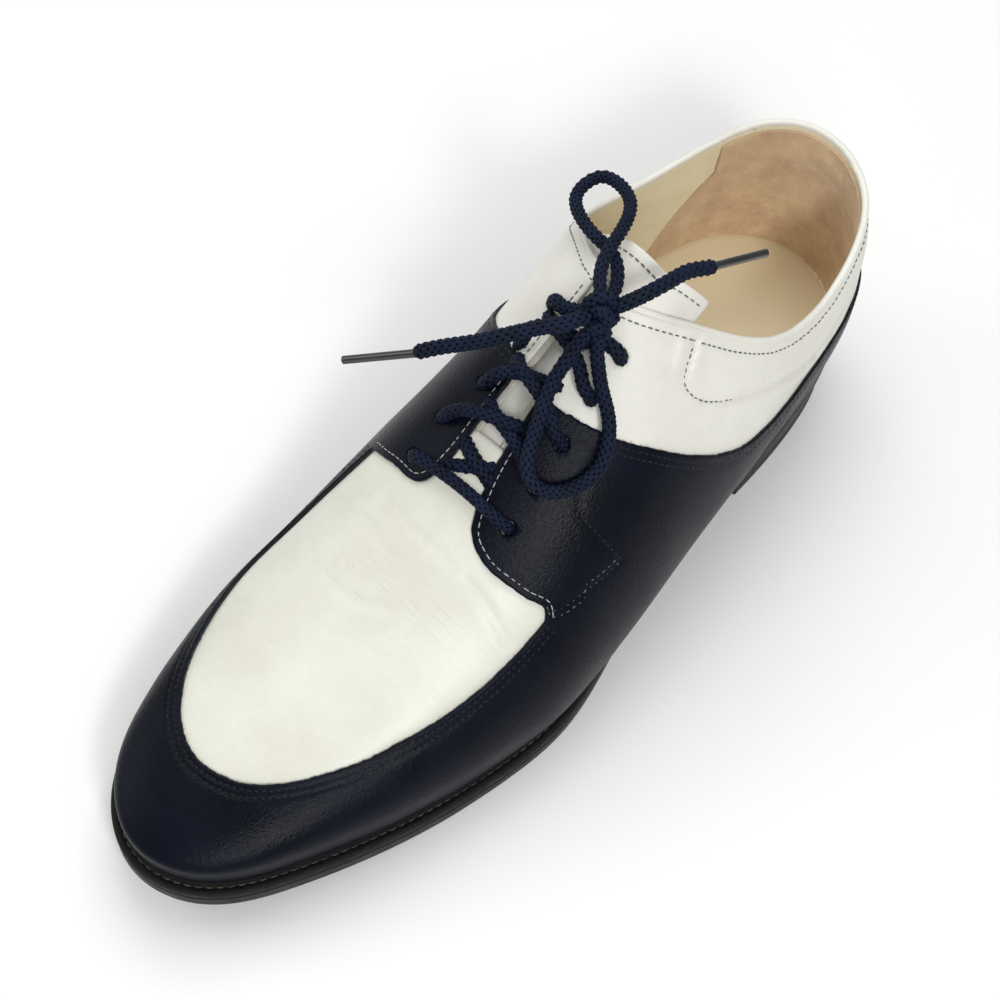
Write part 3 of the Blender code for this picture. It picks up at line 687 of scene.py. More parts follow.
# Each finish: dark and light colour, size of its cloudy patches and of its grain in mm, the grain's
# pattern and height, roughness from and to, coat, sheen, mirror strength. Grain finer than 0.5 mm is
# drawn at 0.5 mm or more, because it would not show in the picture otherwise.
FINISHES = {
    # Aniline-dyed full-grain calf, rolled and waxed: near black in shade, soft blue sheen at the highlights
    "navy_calf": ("#05070E", "#0C1220", 22, 0.6, "cells", 0.2, 0.28, 0.42, 0.0, 0.0, 0.13),
    # Split edge of the same hide, fuzzy and unfinished, with a grey-green cast
    "navy_raw_edge": ("#0B1012", "#222D2D", 2, 0.5, "fibres", 0.25, 0.8, 0.95, 0.0, 0.15, 0.3),
    # Pigmented smooth calf, lightly glazed: ivory with faint warm patches
    "white_calf": ("#D9D7CD", "#E9E8E0", 30, 0.6, "cells", 0.035, 0.38, 0.52, 0.15, 0.0, 0.5),
    # The same where the toe bends: fine wrinkles across the apron
    "creased_white_calf": ("#D3D2C5", "#E3E3D8", 30, 0.6, "cells", 0.035, 0.38, 0.52, 0.15, 0.0, 0.5),
    # Cut edge of the white leather with its paint
    "white_cut_edge": ("#C2BFB1", "#E4E1D6", 3, 0.5, "fibres", 0.10, 0.7, 0.9, 0.0, 0.1, 0.5),
    # Vegetable-tanned lining, undyed: cream, matt, finely grained
    "cream_lining": ("#E9DEBC", "#F6EED3", 18, 0.6, "cells", 0.05, 0.55, 0.7, 0.0, 0.0, 0.5),
    # Brushed suede heel grip: tan nap with light rubbed places
    "tan_suede": ("#BF9E7C", "#E3C7A2", 9, 0.7, "fibres", 0.22, 0.9, 1.0, 0.0, 0.4, 0.3),
    # Sock lining of smooth undyed leather, rubbed darker in the middle
    "sock_leather": ("#EAD19D", "#F8E5BC", 26, 0.8, "cells", 0.03, 0.5, 0.65, 0.05, 0.0, 0.5),
    # Leather sole edge, stained black and burnished with wax
    "blacked_edge": ("#050506", "#0F0F10", 7, 0.6, "fibres", 0.12, 0.4, 0.62, 0.05, 0.0, 0.35),
    # Dyed leather welt with a dusty grey bloom in its rough places
    "welt_leather": ("#060607", "#191A19", 4, 0.7, "fibres", 0.3, 0.5, 0.85, 0.0, 0.0, 0.35),
    # Oak-tanned bottom leather, stained black
    "bottom_leather": ("#15130F", "#2B2722", 24, 0.8, "fibres", 0.10, 0.5, 0.75, 0.05, 0.0, 0.5),
    # Moulded nitrile rubber
    "heel_rubber": ("#0D0D0D", "#191919", 10, 0.6, "cells", 0.03, 0.6, 0.8, 0.0, 0.0, 0.5),
    # Braided waxed cotton over a core
    "braided_cotton": ("#0A0F1C", "#18233C", 5, 0.5, "fibres", 0.12, 0.5, 0.75, 0.0, 0.0, 0.18),
    # Painted shade: a darker copy of the lace, laid on the low faces between the braid's strands
    "braid_painted_shade": ("#03050A", "#080C16", 5, 0.5, "fibres", 0.12, 0.8, 0.95, 0.0, 0.0, 0.05),
    # Crimped acetate tip over the cord
    "acetate_tip": ("#090B0F", "#12161C", 6, 0.9, "cells", 0.01, 0.15, 0.25, 1.0, 0.0, 0.5),
    # Polished polyester thread
    "pale_thread": ("#8B9092", "#C4C6C4", 3, 0.5, "fibres", 0.05, 0.4, 0.6, 0.1, 0.1, 0.5),
    "grey_thread": ("#4E5154", "#7A7D7E", 3, 0.5, "fibres", 0.05, 0.45, 0.6, 0.0, 0.0, 0.4),
    "navy_thread": ("#080C10", "#1B262B", 3, 0.5, "fibres", 0.05, 0.35, 0.55, 0.0, 0.0, 0.35),
    # Waxed linen welt thread, dusty
    "welt_thread": ("#151515", "#5C5C59", 6, 0.5, "fibres", 0.05, 0.5, 0.7, 0.1, 0.0, 0.5),
}
# Finishes whose light colour the user sets
COLOUR_OF = {
    "navy_calf": "navy", "white_calf": "white", "creased_white_calf": "toe_white",
    "cream_lining": "lining", "tan_suede": "suede", "braided_cotton": "lace",
}
# The lace's own finish, and the painted shade for the hollows of its braid
LACE_FINISHES = ("braided_cotton", "braid_painted_shade")


def noise(tree, here, scale, detail, roughness=0.5, distortion=0.0):
    values = {"Scale": scale, "Detail": detail, "Roughness": roughness, "Distortion": distortion}
    return add(tree, "ShaderNodeTexNoise", values, {"Vector": here})


def ranged(tree, source, low, high, to_low=0.0, to_high=1.0):
    """A value stretched from one range to another and held at its ends."""
    values = {"From Min": low, "From Max": high, "To Min": to_low, "To Max": to_high}
    return add(tree, "ShaderNodeMapRange", values, {"Value": source})


def combine(tree, operation, first, second):
    return add(tree, "ShaderNodeMath", {}, {0: first, 1: second}, operation=operation)


def wrinkles(tree, here, grain):
    """Fine wrinkles about 1.2 mm apart and 15 mm long across the toe's bend, in broken groups."""
    stretched = add(tree, "ShaderNodeMapping", {"Scale": (70, 800, 160), "Rotation": (0, 0, 0.06)},
                    {"Vector": here})
    lines = noise(tree, (stretched, 0), 1.0, 3, 0.55, 0.3)
    folds = ranged(tree, (lines, "Fac"), 0.52, 0.66, 1, 0)
    axes = add(tree, "ShaderNodeSeparateXYZ", {}, {"Vector": here})
    rise = ranged(tree, (axes, "Y"), -0.192, -0.172)
    fall = ranged(tree, (axes, "Y"), -0.141, -0.148)
    band = combine(tree, "MULTIPLY", (rise, 0), (fall, 0))
    patches = noise(tree, here, 70, 1)
    groups = ranged(tree, (patches, "Fac"), 0.42, 0.6)
    where = combine(tree, "MULTIPLY", (band, 0), (groups, 0))
    height = combine(tree, "MULTIPLY", (folds, 0), (where, 0))
    return add(tree, "ShaderNodeBump", {"Strength": 0.6, "Distance": 0.15 * MM},
               {"Height": (height, 0), "Normal": (grain, 0)})


def finish_named(name):
    """Material with cloudy colour, grain in the bump and an uneven gloss, on the object's own coordinates."""
    if name in bpy.data.materials:
        return bpy.data.materials[name]
    dark, light, patch, grain, pattern, height, smooth, rough, coat, sheen, mirror = FINISHES[name]
    shades = [linear(dark), linear(light)]
    if name in COLOUR_OF:
        chosen = getattr(bpy.context.scene.shoe_colours, COLOUR_OF[name])
        shades = [tuple(c * part / whole for c, part, whole in zip(chosen, shade, shades[1]))
                  for shade in shades]
    material = bpy.data.materials.new(name)
    material.use_nodes = True
    tree = material.node_tree
    tree.nodes.clear()
    place = add(tree, "ShaderNodeTexCoord")
    here = (place, "Object")
    clouds = noise(tree, here, 1000 / patch, 5, 0.6)
    fine = noise(tree, here, 1000 / grain * 0.5, 4, 0.65)
    mixed = add(tree, "ShaderNodeMath", {1: 0.35}, {0: (fine, "Fac")}, operation="MULTIPLY")
    summed = combine(tree, "ADD", (clouds, "Fac"), (mixed, 0))
    ramp = add(tree, "ShaderNodeValToRGB", {}, {"Fac": (summed, 0)})
    for stop, position, shade in zip(ramp.color_ramp.elements, (0.42, 0.92), shades):
        stop.position = position
        stop.color = shade
    if pattern == "cells":
        cells = add(tree, "ShaderNodeTexVoronoi", {"Scale": 1000 / grain, "Randomness": 1.0},
                    {"Vector": here}, feature="SMOOTH_F1")
        bumps = add(tree, "ShaderNodeMath", {1: 0.5}, {0: (cells, "Distance"), 2: (fine, "Fac")},
                    operation="MULTIPLY_ADD")
    else:
        strands = noise(tree, here, 1000 / grain, 3, distortion=1.5)
        bumps = combine(tree, "ADD", (strands, "Fac"), (fine, "Fac"))
    bump = add(tree, "ShaderNodeBump", {"Strength": 0.8, "Distance": height * MM}, {"Height": (bumps, 0)})
    if name.startswith("creased"):
        bump = wrinkles(tree, here, bump)
    gloss = ranged(tree, (clouds, "Fac"), 0.3, 0.7, smooth, rough)
    shader = add(tree, "ShaderNodeBsdfPrincipled",
                 {"IOR": 1.42, "Specular IOR Level": mirror, "Coat Weight": coat, "Coat Roughness": 0.3,
                  "Sheen Weight": sheen},
                 {"Base Color": (ramp, "Color"), "Roughness": (gloss, 0), "Normal": (bump, 0)})
    add(tree, "ShaderNodeOutputMaterial", {}, {"Surface": (shader, 0)})
    material.diffuse_color = shades[1]
    return material


def layer_depth(places):
    """Depth of the outer leather at places on the skin: navy on top, white a layer below."""
    return np.where(on_white(places), WHITE_DEPTH[0], NAVY_DEPTH[0])


def on_leather(places):
    """Leaves out places over the opening, where there is nothing to sew."""
    return ~(over_opening(places) & (places[:, 2] > 38))


def on_panels(places):
    """Places moved onto the finished outer leather."""
    points = np.vstack([outer for outer, _ in FINISHED])
    normals = np.vstack([normal for _, normal in FINISHED])
    tree = tree_of(points)
    near = [tree.find(place)[1] for place in places]
    away = ((places - points[near]) * normals[near]).sum(-1, keepdims=True)
    return places - normals[near] * away


def stitches(name, lines, thread, pitch, length, width, sink, own_depth=False):
    """Rows of rounded stitches, each dipping at both ends into the leather."""
    ring = 6
    turns = np.linspace(0, 2 * np.pi, ring, endpoint=False)
    shares = np.array([-0.5, -0.38, 0, 0.38, 0.5])
    thin = np.array([0.25, 0.85, 1, 0.85, 0.25])
    points = []
    faces = []
    for line in lines:
        run = run_along(line)
        middles = np.arange(pitch / 2, run[-1], pitch)
        centres, ahead, behind = (
            np.stack([np.interp(middles + shift, run, line[:, axis]) for axis in range(3)], -1)
            for shift in (0, 0.6, -0.6))
        if not own_depth:
            kept = on_leather(centres)
            centres, ahead, behind = centres[kept], ahead[kept], behind[kept]
        near = [SKIN.tree.find(centre)[1] for centre in centres]
        normals = SKIN.flat_normals[near]
        along = unit(ahead - behind)
        if not own_depth:
            centres = on_panels(centres - normals * layer_depth(centres)[:, None])
        across = unit(np.cross(normals, along))
        for centre, normal, front, side in zip(centres, normals, along, across):
            start = len(points)
            for share, scale in zip(shares, thin):
                lift = -width * 0.5 * (abs(share) * 2)**3 - sink
                for turn in turns:
                    points.append(centre + front * share * length + side * np.cos(turn) * width / 2 * scale
                                  + normal * (np.sin(turn) * width / 2 * scale + lift))
            for row in range(len(shares) - 1):
                for i in range(ring):
                    a = start + row * ring + i
                    b = start + row * ring + (i + 1) % ring
                    faces.append((a, b, b + ring, a + ring))
            faces.append(tuple(start + i for i in reversed(range(ring))))
            faces.append(tuple(start + (len(shares) - 1) * ring + i for i in range(ring)))
    settle(new_piece(name, points, faces), materials=(thread,))


def dips(panel, field, rows, depth=0.22, width=0.5):
    """Soft valleys where rows of stitches pull the leather down."""
    distance = np.abs(panel.column(field))
    return -sum(depth * np.exp(-((distance - row) / width)**2) for row in rows)


def crease(places, table):
    """Troughs with a low ridge beside them, along the listed lines."""
    total = np.zeros(len(places))
    for plan, depth in table:
        distance = distance_to(SKIN.above(drawn(plan)), places)
        total -= depth * np.exp(-(distance / 1.1)**2)
        total += depth * 0.45 * np.exp(-((distance - 3.2) / 1.8)**2)
    return total


def navy_edge(panel):
    """Distance into the navy leather from its visible edges, slightly ragged as cut by hand."""
    ragged = 0.16 * smooth_noise(panel.places, 3.0, 5)
    return np.minimum(panel.column("opening"), panel.column("saddle")) + ragged


def navy_relief(panel):
    swell = 0.07 * smooth_noise(panel.places, 26, 3)
    edge_rows = np.where(panel.column("along") < APRON_BACK, dips(panel, "opening", SEAM_ROWS, 0.3),
                         dips(panel, "opening", (FACING_ROW,), 0.12))
    return swell + edge_rows + dips(panel, "saddle", SEAM_ROWS) + dips(panel, "seam", (0,), 0.3, 0.9)


def with_holes(edge):
    """Distance from a panel's edge or from an eyelet, whichever is nearer."""
    return lambda panel: np.minimum(edge(panel), panel.column("eyelets"))


def no_edge(panel):
    """Distance that leaves every edge square."""
    return np.full(len(panel.data), 9.0)


def make_vamp():
    """Navy front, lower band and saddle in one, cut raw round the apron and along its top edge."""
    panel = Panel(SKIN_DATA)
    panel.cut(lambda p: p.column("eyelets"), (0.4,))
    panel.cut(navy_edge)
    piece = panel.thick("vamp", NAVY_DEPTH, with_holes(navy_edge), 0.6, navy_relief)
    settle(piece, "upper", materials=("navy_calf", "navy_raw_edge"), merge=PANEL_MERGE)


def plug_relief(panel):
    near = np.clip(-panel.column("opening"), 0, None)
    rise = 0.15 * smooth_noise(panel.places, 34, 8)
    return rise + crease(panel.places, PLUG_CREASES) - 0.35 * np.exp(-near / 1.5)


def make_plug():
    """White apron, a layer below the navy leather that frames it."""
    def edge(panel):
        return np.minimum(LAP - panel.column("opening"), PLUG_BACK - panel.column("along"))

    panel = Panel(SKIN_DATA)
    panel.split(np.minimum(edge(panel), panel.column("level") - 0.02))
    panel.tidy()
    piece = panel.thick("apron_plug", np.array(WHITE_DEPTH) + 0.1, edge, 0.3, plug_relief)
    settle(piece, materials=("creased_white_calf", "white_cut_edge"), merge=PANEL_MERGE)


PAD_LINE = SKIN.onto(drawn(COLLAR_PAD))[0]


def collar_swell(panel):
    """The padded band under the top edge, soft and highest in its middle."""
    depth = np.clip(panel.column("top"), 0, 40)
    back = np.clip((panel.column("along") + 72) / 14, 0, 1)
    pad = distance_to(PAD_LINE, panel.places)
    ridge = 0.8 * np.exp(-((pad - 2.6) / 2.2)**2) - 0.9 * np.exp(-(pad / 1.2)**2)
    return back * 0.5 * np.exp(-((depth - 10) / 7)**2) + np.where(panel.column("along") > -74, ridge, 0)


def quarter_edge(panel):
    return np.minimum(panel.column("opening"), panel.column("top"))


def make_quarters():
    """White back part with the last two pairs of eyelets, tucked under the saddle's edge."""
    def keep(panel):
        return np.minimum(LAP - panel.column("saddle"), panel.column("along") - QUARTER_FRONT)

    panel = Panel(SKIN_DATA)
    panel.split(keep(panel))
    panel.tidy()
    panel.cut(lambda p: p.column("eyelets"), (0.4,))
    panel.cut(quarter_edge)

    def relief(p):
        top_row = -0.2 * np.exp(-((p.column("top") - COLLAR_ROW) / 0.5)**2)
        facing_row = dips(p, "opening", (FACING_ROW,), 0.15)
        return collar_swell(p) + top_row + facing_row + 0.12 * smooth_noise(p.places, 30, 9)

    piece = panel.thick("quarters", WHITE_DEPTH, with_holes(quarter_edge), 0.6, relief)
    settle(piece, materials=("white_calf", "white_cut_edge"), merge=PANEL_MERGE)


def make_lining():
    """Cream lining inside the collar, the facings and the forepart, and the suede heel grip on it."""
    panel = Panel(SKIN_DATA)
    panel.cut(lambda p: p.column("eyelets"), ())

    def edge(p):
        lateral = p.places[:, 0] > LAST.spine(p.places[:, 1]) - 3
        return np.minimum(p.column("opening") + np.where(lateral, 1.9, 1.0), p.column("top") - 0.2)

    panel.cut(edge, (0.4,))
    low = np.interp(panel.column("level"), [-1, -0.7], [1.0, 0])
    panel.data[:, :3] -= panel.data[:, 3:6] * low[:, None]
    piece = panel.thick("lining", LINING_DEPTH, no_edge, 0.3)
    opening = panel.column("opening")
    for polygon in piece.data.polygons:
        if min(opening[i % len(opening)] for i in polygon.vertices) < 0.3:
            polygon.material_index = 1
    settle(piece, materials=("cream_lining", "white_cut_edge"), merge=PANEL_MERGE)

    def grip(p):
        front = p.column("along") - 14 + 0.75 * np.clip(64 - p.places[:, 2], 0, 40)
        return np.minimum(p.column("top") - 2.3, front)

    def nap(p):
        return -1.3 * np.exp(-((p.column("top") - 11) / 6)**2) - 0.12 * smooth_noise(p.places, 2.2, 12)

    panel = Panel(SKIN_DATA)
    panel.cut(grip, (0.4,))
    heel = panel.thick("heel_grip", COUNTER_DEPTH, no_edge, 0.3, inner_relief=nap)
    settle(heel, materials=("tan_suede", "tan_suede"), merge=PANEL_MERGE)


def sweep(name, line, radius, segments, twist=None, close_ends=True):
    """Round tube along a line, with a braided surface where twist gives its number of strands and pitch."""
    line = np.asarray(line, float)
    along = unit(np.gradient(line, axis=0))
    run = run_along(line)
    side = unit(np.cross(along[0], (0.3, 0.1, 1.0)))
    turns = np.linspace(0, 2 * np.pi, segments, endpoint=False)
    points = []
    rises = []
    for place, direction, distance in zip(line, along, run):
        side = unit(side - direction * (side @ direction))
        up = np.cross(direction, side)
        size = np.full(segments, float(radius))
        if twist:
            strands, pitch = twist
            a = strands / 2 * turns + np.pi / pitch * distance
            b = strands / 2 * turns - np.pi / pitch * distance
            rise = np.abs(np.cos(a) * np.cos(b))**0.6
            size = radius * (0.74 + 0.31 * rise)
            rises.append(rise)
        ends = min(distance, run[-1] - distance)
        size = size * (min(1, 0.35 + ends / radius) if close_ends else 1)
        points.append(place + np.outer(np.cos(turns) * size, side) + np.outer(np.sin(turns) * size, up))
    count = len(line)
    faces = [(r * segments + i, r * segments + (i + 1) % segments, (r + 1) * segments + (i + 1) % segments,
              (r + 1) * segments + i) for r in range(count - 1) for i in range(segments)]
    faces.append(tuple(reversed(range(segments))))
    faces.append(tuple((count - 1) * segments + i for i in range(segments)))
    piece = new_piece(name, np.vstack(points), faces)
    if twist:
        # Faces low between the strands take the second material, painted shade in the braid's hollows
        rises = np.array(rises)
        mean = (rises + np.roll(rises, -1, 1))[:-1] + (rises + np.roll(rises, -1, 1))[1:]
        for polygon, value in zip(piece.data.polygons, mean.ravel() / 4):
            polygon.material_index = int(value < 0.33)
    return piece


def lace_radius(share):
    """A share of half the lace's thickness, in mm."""
    return bpy.context.scene.shoe.lace_diameter / MM / 2 * share


def lace_piece(name, route, *nodes, pulled=1.0):
    """Braided lace along a route, thinner where it is pulled tight."""
    line = drawn(route, 0.4)
    piece = sweep(name, line, lace_radius(1.02) * pulled, 40, BRAID)
    settle(piece, *nodes, materials=LACE_FINISHES)
    return piece, line


def join_pieces(name, pieces, *nodes):
    """One object from several that make one thing."""
    bpy.ops.object.select_all(action="DESELECT")
    for piece in pieces:
        piece.select_set(True)
    bpy.context.view_layer.objects.active = pieces[0]
    bpy.ops.object.join()
    joined = bpy.context.object
    joined.name = name
    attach(joined, "root")
    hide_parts(*nodes)


def over(*centres):
    """Places of a lace's middle line: place along, distance from the spine, height over the skin."""
    route = []
    for y, offset, lift in centres:
        place, normal = LAST.on_top(y, offset)
        route.append(place + normal * lift)
    return route


def leave(point, cover):
    """Point on the way out of the knot, at a distance from its middle."""
    return KNOT + unit(np.subtract(point, KNOT)) * cover


def crossing_strand(low, high, side, lift):
    """Route up out of one eyelet, over the throat and down under the opposite facing."""
    y = low[0]
    near = low[1] if side > 0 else low[2]
    middle = (low[0] + high[0]) / 2
    return over((y - 1.5, side * (near + 2.5), TUCKED), (y, side * near, -1.5),
                (y + 0.5, side * (near - 3), 1.9),
                ((y + middle) / 2 + 0.5, side * near * 0.55, 2.7 + lift * 0.5),
                (middle, side * 1.5, 2.2 + lift), (middle + 1.8, -side * 5, 1.0 + lift * 0.3),
                (middle + 3, -side * 8.5, -3.2))


def lacing(name, node, pulled, **strands):
    """One piece of the lacing from its strands' routes, some of them pulled thinner than the lace."""
    made = [lace_piece(strand, route, pulled=pulled.get(strand, 1.0))[0] for strand, route in strands.items()]
    join_pieces(name, made, node)


def make_lacing():
    """Bar at the first pair of eyelets, crossed strands above it, and the last pair's run to the knot."""
    y, lateral, medial = EYELETS[0]
    lacing("lacing_first", "lace_bar", {"lace_bar_run": 0.86},
           lace_bar_run=over((y - 0.5, lateral + 1, TUCKED), (y, lateral, -1.2), (y, lateral - 3.5, 2.2),
                             (y, lateral * 0.4, 2.4), (y, 1, 2.0), (y, -medial * 0.45, 2.4),
                             (y, 3.5 - medial, 2.2), (y, -medial, -1.2), (y - 0.5, -medial - 1, TUCKED)),
           lace_under_one=over((-131.5, 11, TUCKED), (-129, 6.5, -1.6), (-127, 0, 0.4),
                               (-124.5, -7, -1.6), (-122, -12, TUCKED)),
           lace_under_two=over((-134, -13, TUCKED), (-132, -7.5, -2.4), (-129, -0.5, -1.2),
                               (-126, 5.5, -2.2), (-124, 11, TUCKED)))
    for number, (low, high) in enumerate(zip(EYELETS[1:], EYELETS[2:]), start=1):
        lifts = (3.6, 0.4) if number == 2 else (0.4, 3.6)
        made = [lace_piece(f"strand_{side}_{number}", crossing_strand(low, high, sign, lift), pulled=0.92)[0]
                for side, sign, lift in zip(("lateral", "medial"), (1, -1), lifts)]
        join_pieces(f"lacing_{number}", made, f"lace_cross_{number}")
    y, lateral, medial = EYELETS[-1]
    right = over((y - 1, lateral + 2, TUCKED), (y, lateral, -1.2), (y, lateral - 3, 2.2),
                 (y - 0.5, lateral * 0.5, 3.8))
    left = over((y - 1, -medial - 2, TUCKED), (y, -medial, -1.2), (y, 3 - medial, 2.2),
                (y - 0.5, -medial * 0.3, 3.4))
    lacing("lacing_tie", "lace_tie", {}, tie_lateral=[*right, np.add(KNOT, (2.5, -0.5, -2.5))],
           tie_medial=[*left, np.add(KNOT, (-2.5, 0, -2.5))])


def make_knot():
    """Four short wraps of lace pulled tight, as a bow's knot shows them."""
    middle = np.add(KNOT, KNOT_SAG)
    turn = np.linspace(0, 2 * np.pi, 60)
    cos, sin = np.cos(turn), np.sin(turn)
    wraps = (np.stack([2.6 * cos, 2.6 * cos + 1.2 * sin, 3.9 * sin], -1) + (-1.4, 1.0, 1.2),
             np.stack([3.5 * cos, 0.9 * sin, 3.3 * sin], -1) + (0.5, -1.3, -0.2),
             np.stack([3.3 * cos, 3.3 * sin, 1.0 * cos], -1) + (0.2, 0.2, -0.8),
             np.stack([1.5 * cos, 0.6 * sin, 2.0 * sin], -1) + (0.4, 0.0, 0.6))
    made = []
    for number, wrap in enumerate(wraps):
        strand = sweep(f"wrap_{number}", drawn(wrap + middle, 0.42), lace_radius(0.98), 36, BRAID)
        made.append(settle(strand, materials=LACE_FINISHES))
    join_pieces("bow_knot", made, "lace_knot")


def make_bow():
    """The bow's two loops and two ends, each a cord of the photograph's length."""
    tips = {}
    for side, (start, end) in (("left", AGLET_LEFT), ("right", AGLET_RIGHT)):
        line = drawn([start - unit(np.subtract(end, start)) * AGLET_OVERLAP, end])
        tip = sweep("tip_" + side, line, AGLET_RADIUS, 24, close_ends=False)
        tips[side] = settle(tip, "aglet_" + side, materials=("acetate_tip",), angle=40)
    routes = (
        ("loop_up", [*LOOP_UP, leave(LOOP_UP[-1], KNOT_OUT)], "knot", [], 0.88),
        ("loop_down", [*LOOP_DOWN, leave(LOOP_DOWN[-1], KNOT_OUT)], "knot", [], 0.94),
        ("end_left", END_LEFT, "fitting", [tips["left"]], 1.0),
        ("end_right", END_RIGHT, "fitting", [tips["right"]], 1.0),
    )
    for name, route, far_end, carried, pulled in routes:
        piece, line = lace_piece(name, [leave(route[0], KNOT_IN), *route], "lace_" + name, pulled=pulled)
        path = [tuple(place * MM) for place in line[::3]] + [tuple(line[-1] * MM)]
        float(run_along(line)[-1]) * MM
        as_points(path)
        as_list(carried)


def make_tongue():
    """White tongue under the throat, its rounded top edge standing above the facings."""
    def edge(panel):
        slant = TONGUE_SLANT * np.clip(panel.places[:, 0] - 8, 0, 30)
        ends = np.minimum(TONGUE_BACK - panel.column("along") + slant, panel.column("along") - TONGUE_FRONT)
        return np.minimum(ends, (panel.column("level") - TONGUE_LEVEL) * 60)

    def relief(p):
        row = -0.2 * np.exp(-((edge(p) - TONGUE_ROW) / 0.5)**2)
        return row + 0.2 * smooth_noise(p.places, 18, 15)

    panel = Panel(SKIN_DATA)
    panel.cut(edge)
    piece = panel.thick("tongue_leather", TONGUE_DEPTH, edge, 0.7, relief)
    settle(piece, "tongue", materials=("white_calf", "white_cut_edge"), merge=PANEL_MERGE)


def out(less):
    """Reach of the welt's edge from the feather line, less a distance."""
    return lambda y: np.interp(y, [-110, -60], [4.5, 2.5]) - less


def seat(offset):
    return lambda y: LAST.seat(y) + offset


def bottom(offset):
    return lambda y: np.maximum(LAST.seat(y) - SOLE_DEPTH, 0) + offset


def flat(value):
    return lambda y: np.full(np.shape(y), float(value))


def ring(reach, height, places):
    """Points round the feather line moved outward by reach, at a height."""
    us = LAST.round_us(places)
    here = LAST.outline(us)
    here = here + LAST.outward(us) * np.reshape(reach(here[:, 1]), (-1, 1))
    return np.column_stack([here, height(here[:, 1])])


def loft(name, rings, tube=False):
    """Walls between rings from low to high, closed to a tube or filled at both ends by strips."""
    count = len(rings[0])
    faces = []
    for low in range(len(rings) if tube else len(rings) - 1):
        first = low * count
        second = ((low + 1) % len(rings)) * count
        faces += [(first + (i + 1) % count, first + i, second + i, second + (i + 1) % count)
                  for i in range(count)]
    for base, flip in () if tube else ((0, False), ((len(rings) - 1) * count, True)):
        for i in range(count // 2):
            corners = (i, (i + 1) % count, (count - i - 1) % count, (count - i) % count)
            strip = [base + corner for corner in dict.fromkeys(corners)]
            if len(strip) > 2:
                faces.append(tuple(reversed(strip) if flip else strip))
    return new_piece(name, np.vstack(rings), faces)


def sole_layer(name, node, finish, profile, places, tube=False, angle=35):
    """Layer of the sole through a profile of reaches and heights."""
    rings = [ring(reach, height, places) for reach, height in profile]
    settle(loft(name, rings, tube), node, materials=(finish,), angle=angle)


def make_sole():
    """Welt with its stitches, leather outsole, stacked heel and rubber top piece."""
    places = LAST.along(SOLE_STEPS)
    low = -WELT_THICKNESS
    profile = [(flat(-WELT_INSIDE), seat(low)), (out(0.4), seat(low)), (out(0.05), seat(low + 0.35)),
               (out(0), seat(-1.5)), (out(0.05), seat(-0.8)), (out(0.35), seat(-0.25)), (out(0.8), seat(0)),
               (out(1.9), seat(0.0)), (out(2.3), seat(-0.35)), (out(2.7), seat(0.05)),
               (flat(-WELT_INSIDE), seat(0))]
    sole_layer("welt_strip", "welt", "welt_leather", profile, places, True, 50)
    line = ring(out(2.3), seat(-0.05), places)
    stitches("welt_stitches", [np.vstack([line, line[:1]])], "welt_thread", 3.1, 2.1, 0.5, 0.05, True)
    profile = [(out(3.2), bottom(0)), (out(0.9), bottom(0)), (out(0.3), bottom(0.25)), (out(0), bottom(0.8)),
               (out(0.12), seat(low - 1.6)), (out(0), seat(low - 0.9)), (out(0.25), seat(low - 0.45)),
               (out(0.7), seat(low - 0.3))]
    sole_layer("outsole_leather", "outsole", "blacked_edge", profile, places)

    def lift(share):
        foot = HEEL_TOP_HEIGHT + 0.3
        return lambda y: foot + (bottom(-0.3)(y) - foot) * share

    lifts = []
    for number in range(HEEL_LIFTS):
        for share, groove in ((0.02, 0.28), (0.1, 0), (0.9, 0), (0.98, 0.28)):
            place = (number + share) / HEEL_LIFTS
            lifts.append([out(HEEL_TAPER * (1 - place) + groove), lift(place)])
    lifts[0][1] = lift(0)
    lifts[-1][1] = lift(1)
    places = stretch(HEEL_BREAST, LAST.back, SOLE_STEPS)[::-1]
    sole_layer("stacked_heel", "heel_stack", "blacked_edge", lifts, places)
    profile = [(out(HEEL_TAPER + 1.4), flat(0)), (out(HEEL_TAPER + 0.4), flat(0.35)),
               (out(HEEL_TAPER + 0.1), flat(1)), (out(HEEL_TAPER), flat(HEEL_TOP_HEIGHT - 0.4)),
               (out(HEEL_TAPER + 0.3), flat(HEEL_TOP_HEIGHT))]
    sole_layer("top_piece", "heel_top_piece", "heel_rubber", profile, places)


def make_sock():
    """Sock lining on the insole, softly crowned, down to the wall all round."""
    places = LAST.along(SOLE_STEPS)
    us = LAST.round_us(places)
    y = LAST.outline(us)[:, 1]
    level = -np.arcsin(1 - SOCK_HEIGHT / LAST.belly(y)) / (np.pi / 2)
    rim = LAST.point(us, level) - LAST.normal(us, level) * WALL_DEPTH
    rim[:, 2] = LAST.seat(y) + SOCK_HEIGHT
    middle_y = np.clip(rim[:, 1], LAST.tip + 32, LAST.back - 32)
    middle = np.column_stack([LAST.spine(middle_y) + 1, middle_y])
    rings = [ring(flat(-3.2), seat(0.4), places), rim]
    for share in (0.97, 0.9, 0.8, 0.68, 0.55, 0.42, 0.3, 0.18, 0.06):
        plan = middle + (rim[:, :2] - middle) * share
        sag = 1.6 * (1 - share**2) - 0.6 * math.exp(-((share - 1) / 0.08)**2)
        rings.append(np.column_stack([plan, LAST.seat(plan[:, 1]) + 3.2 - sag * 0.6]))
    settle(loft("sock_lining", rings), "insole", materials=("sock_leather",), angle=60)


def make_collar_edge():
    """Folded top edge of the collar, a soft white bead between quarters and lining."""
    line, _ = SKIN.onto(LINE_TOP, 1.75)
    piece = sweep("collar_edge", drawn(line[::3], 1.0), 1.15, 16)
    settle(piece, materials=("white_calf",))


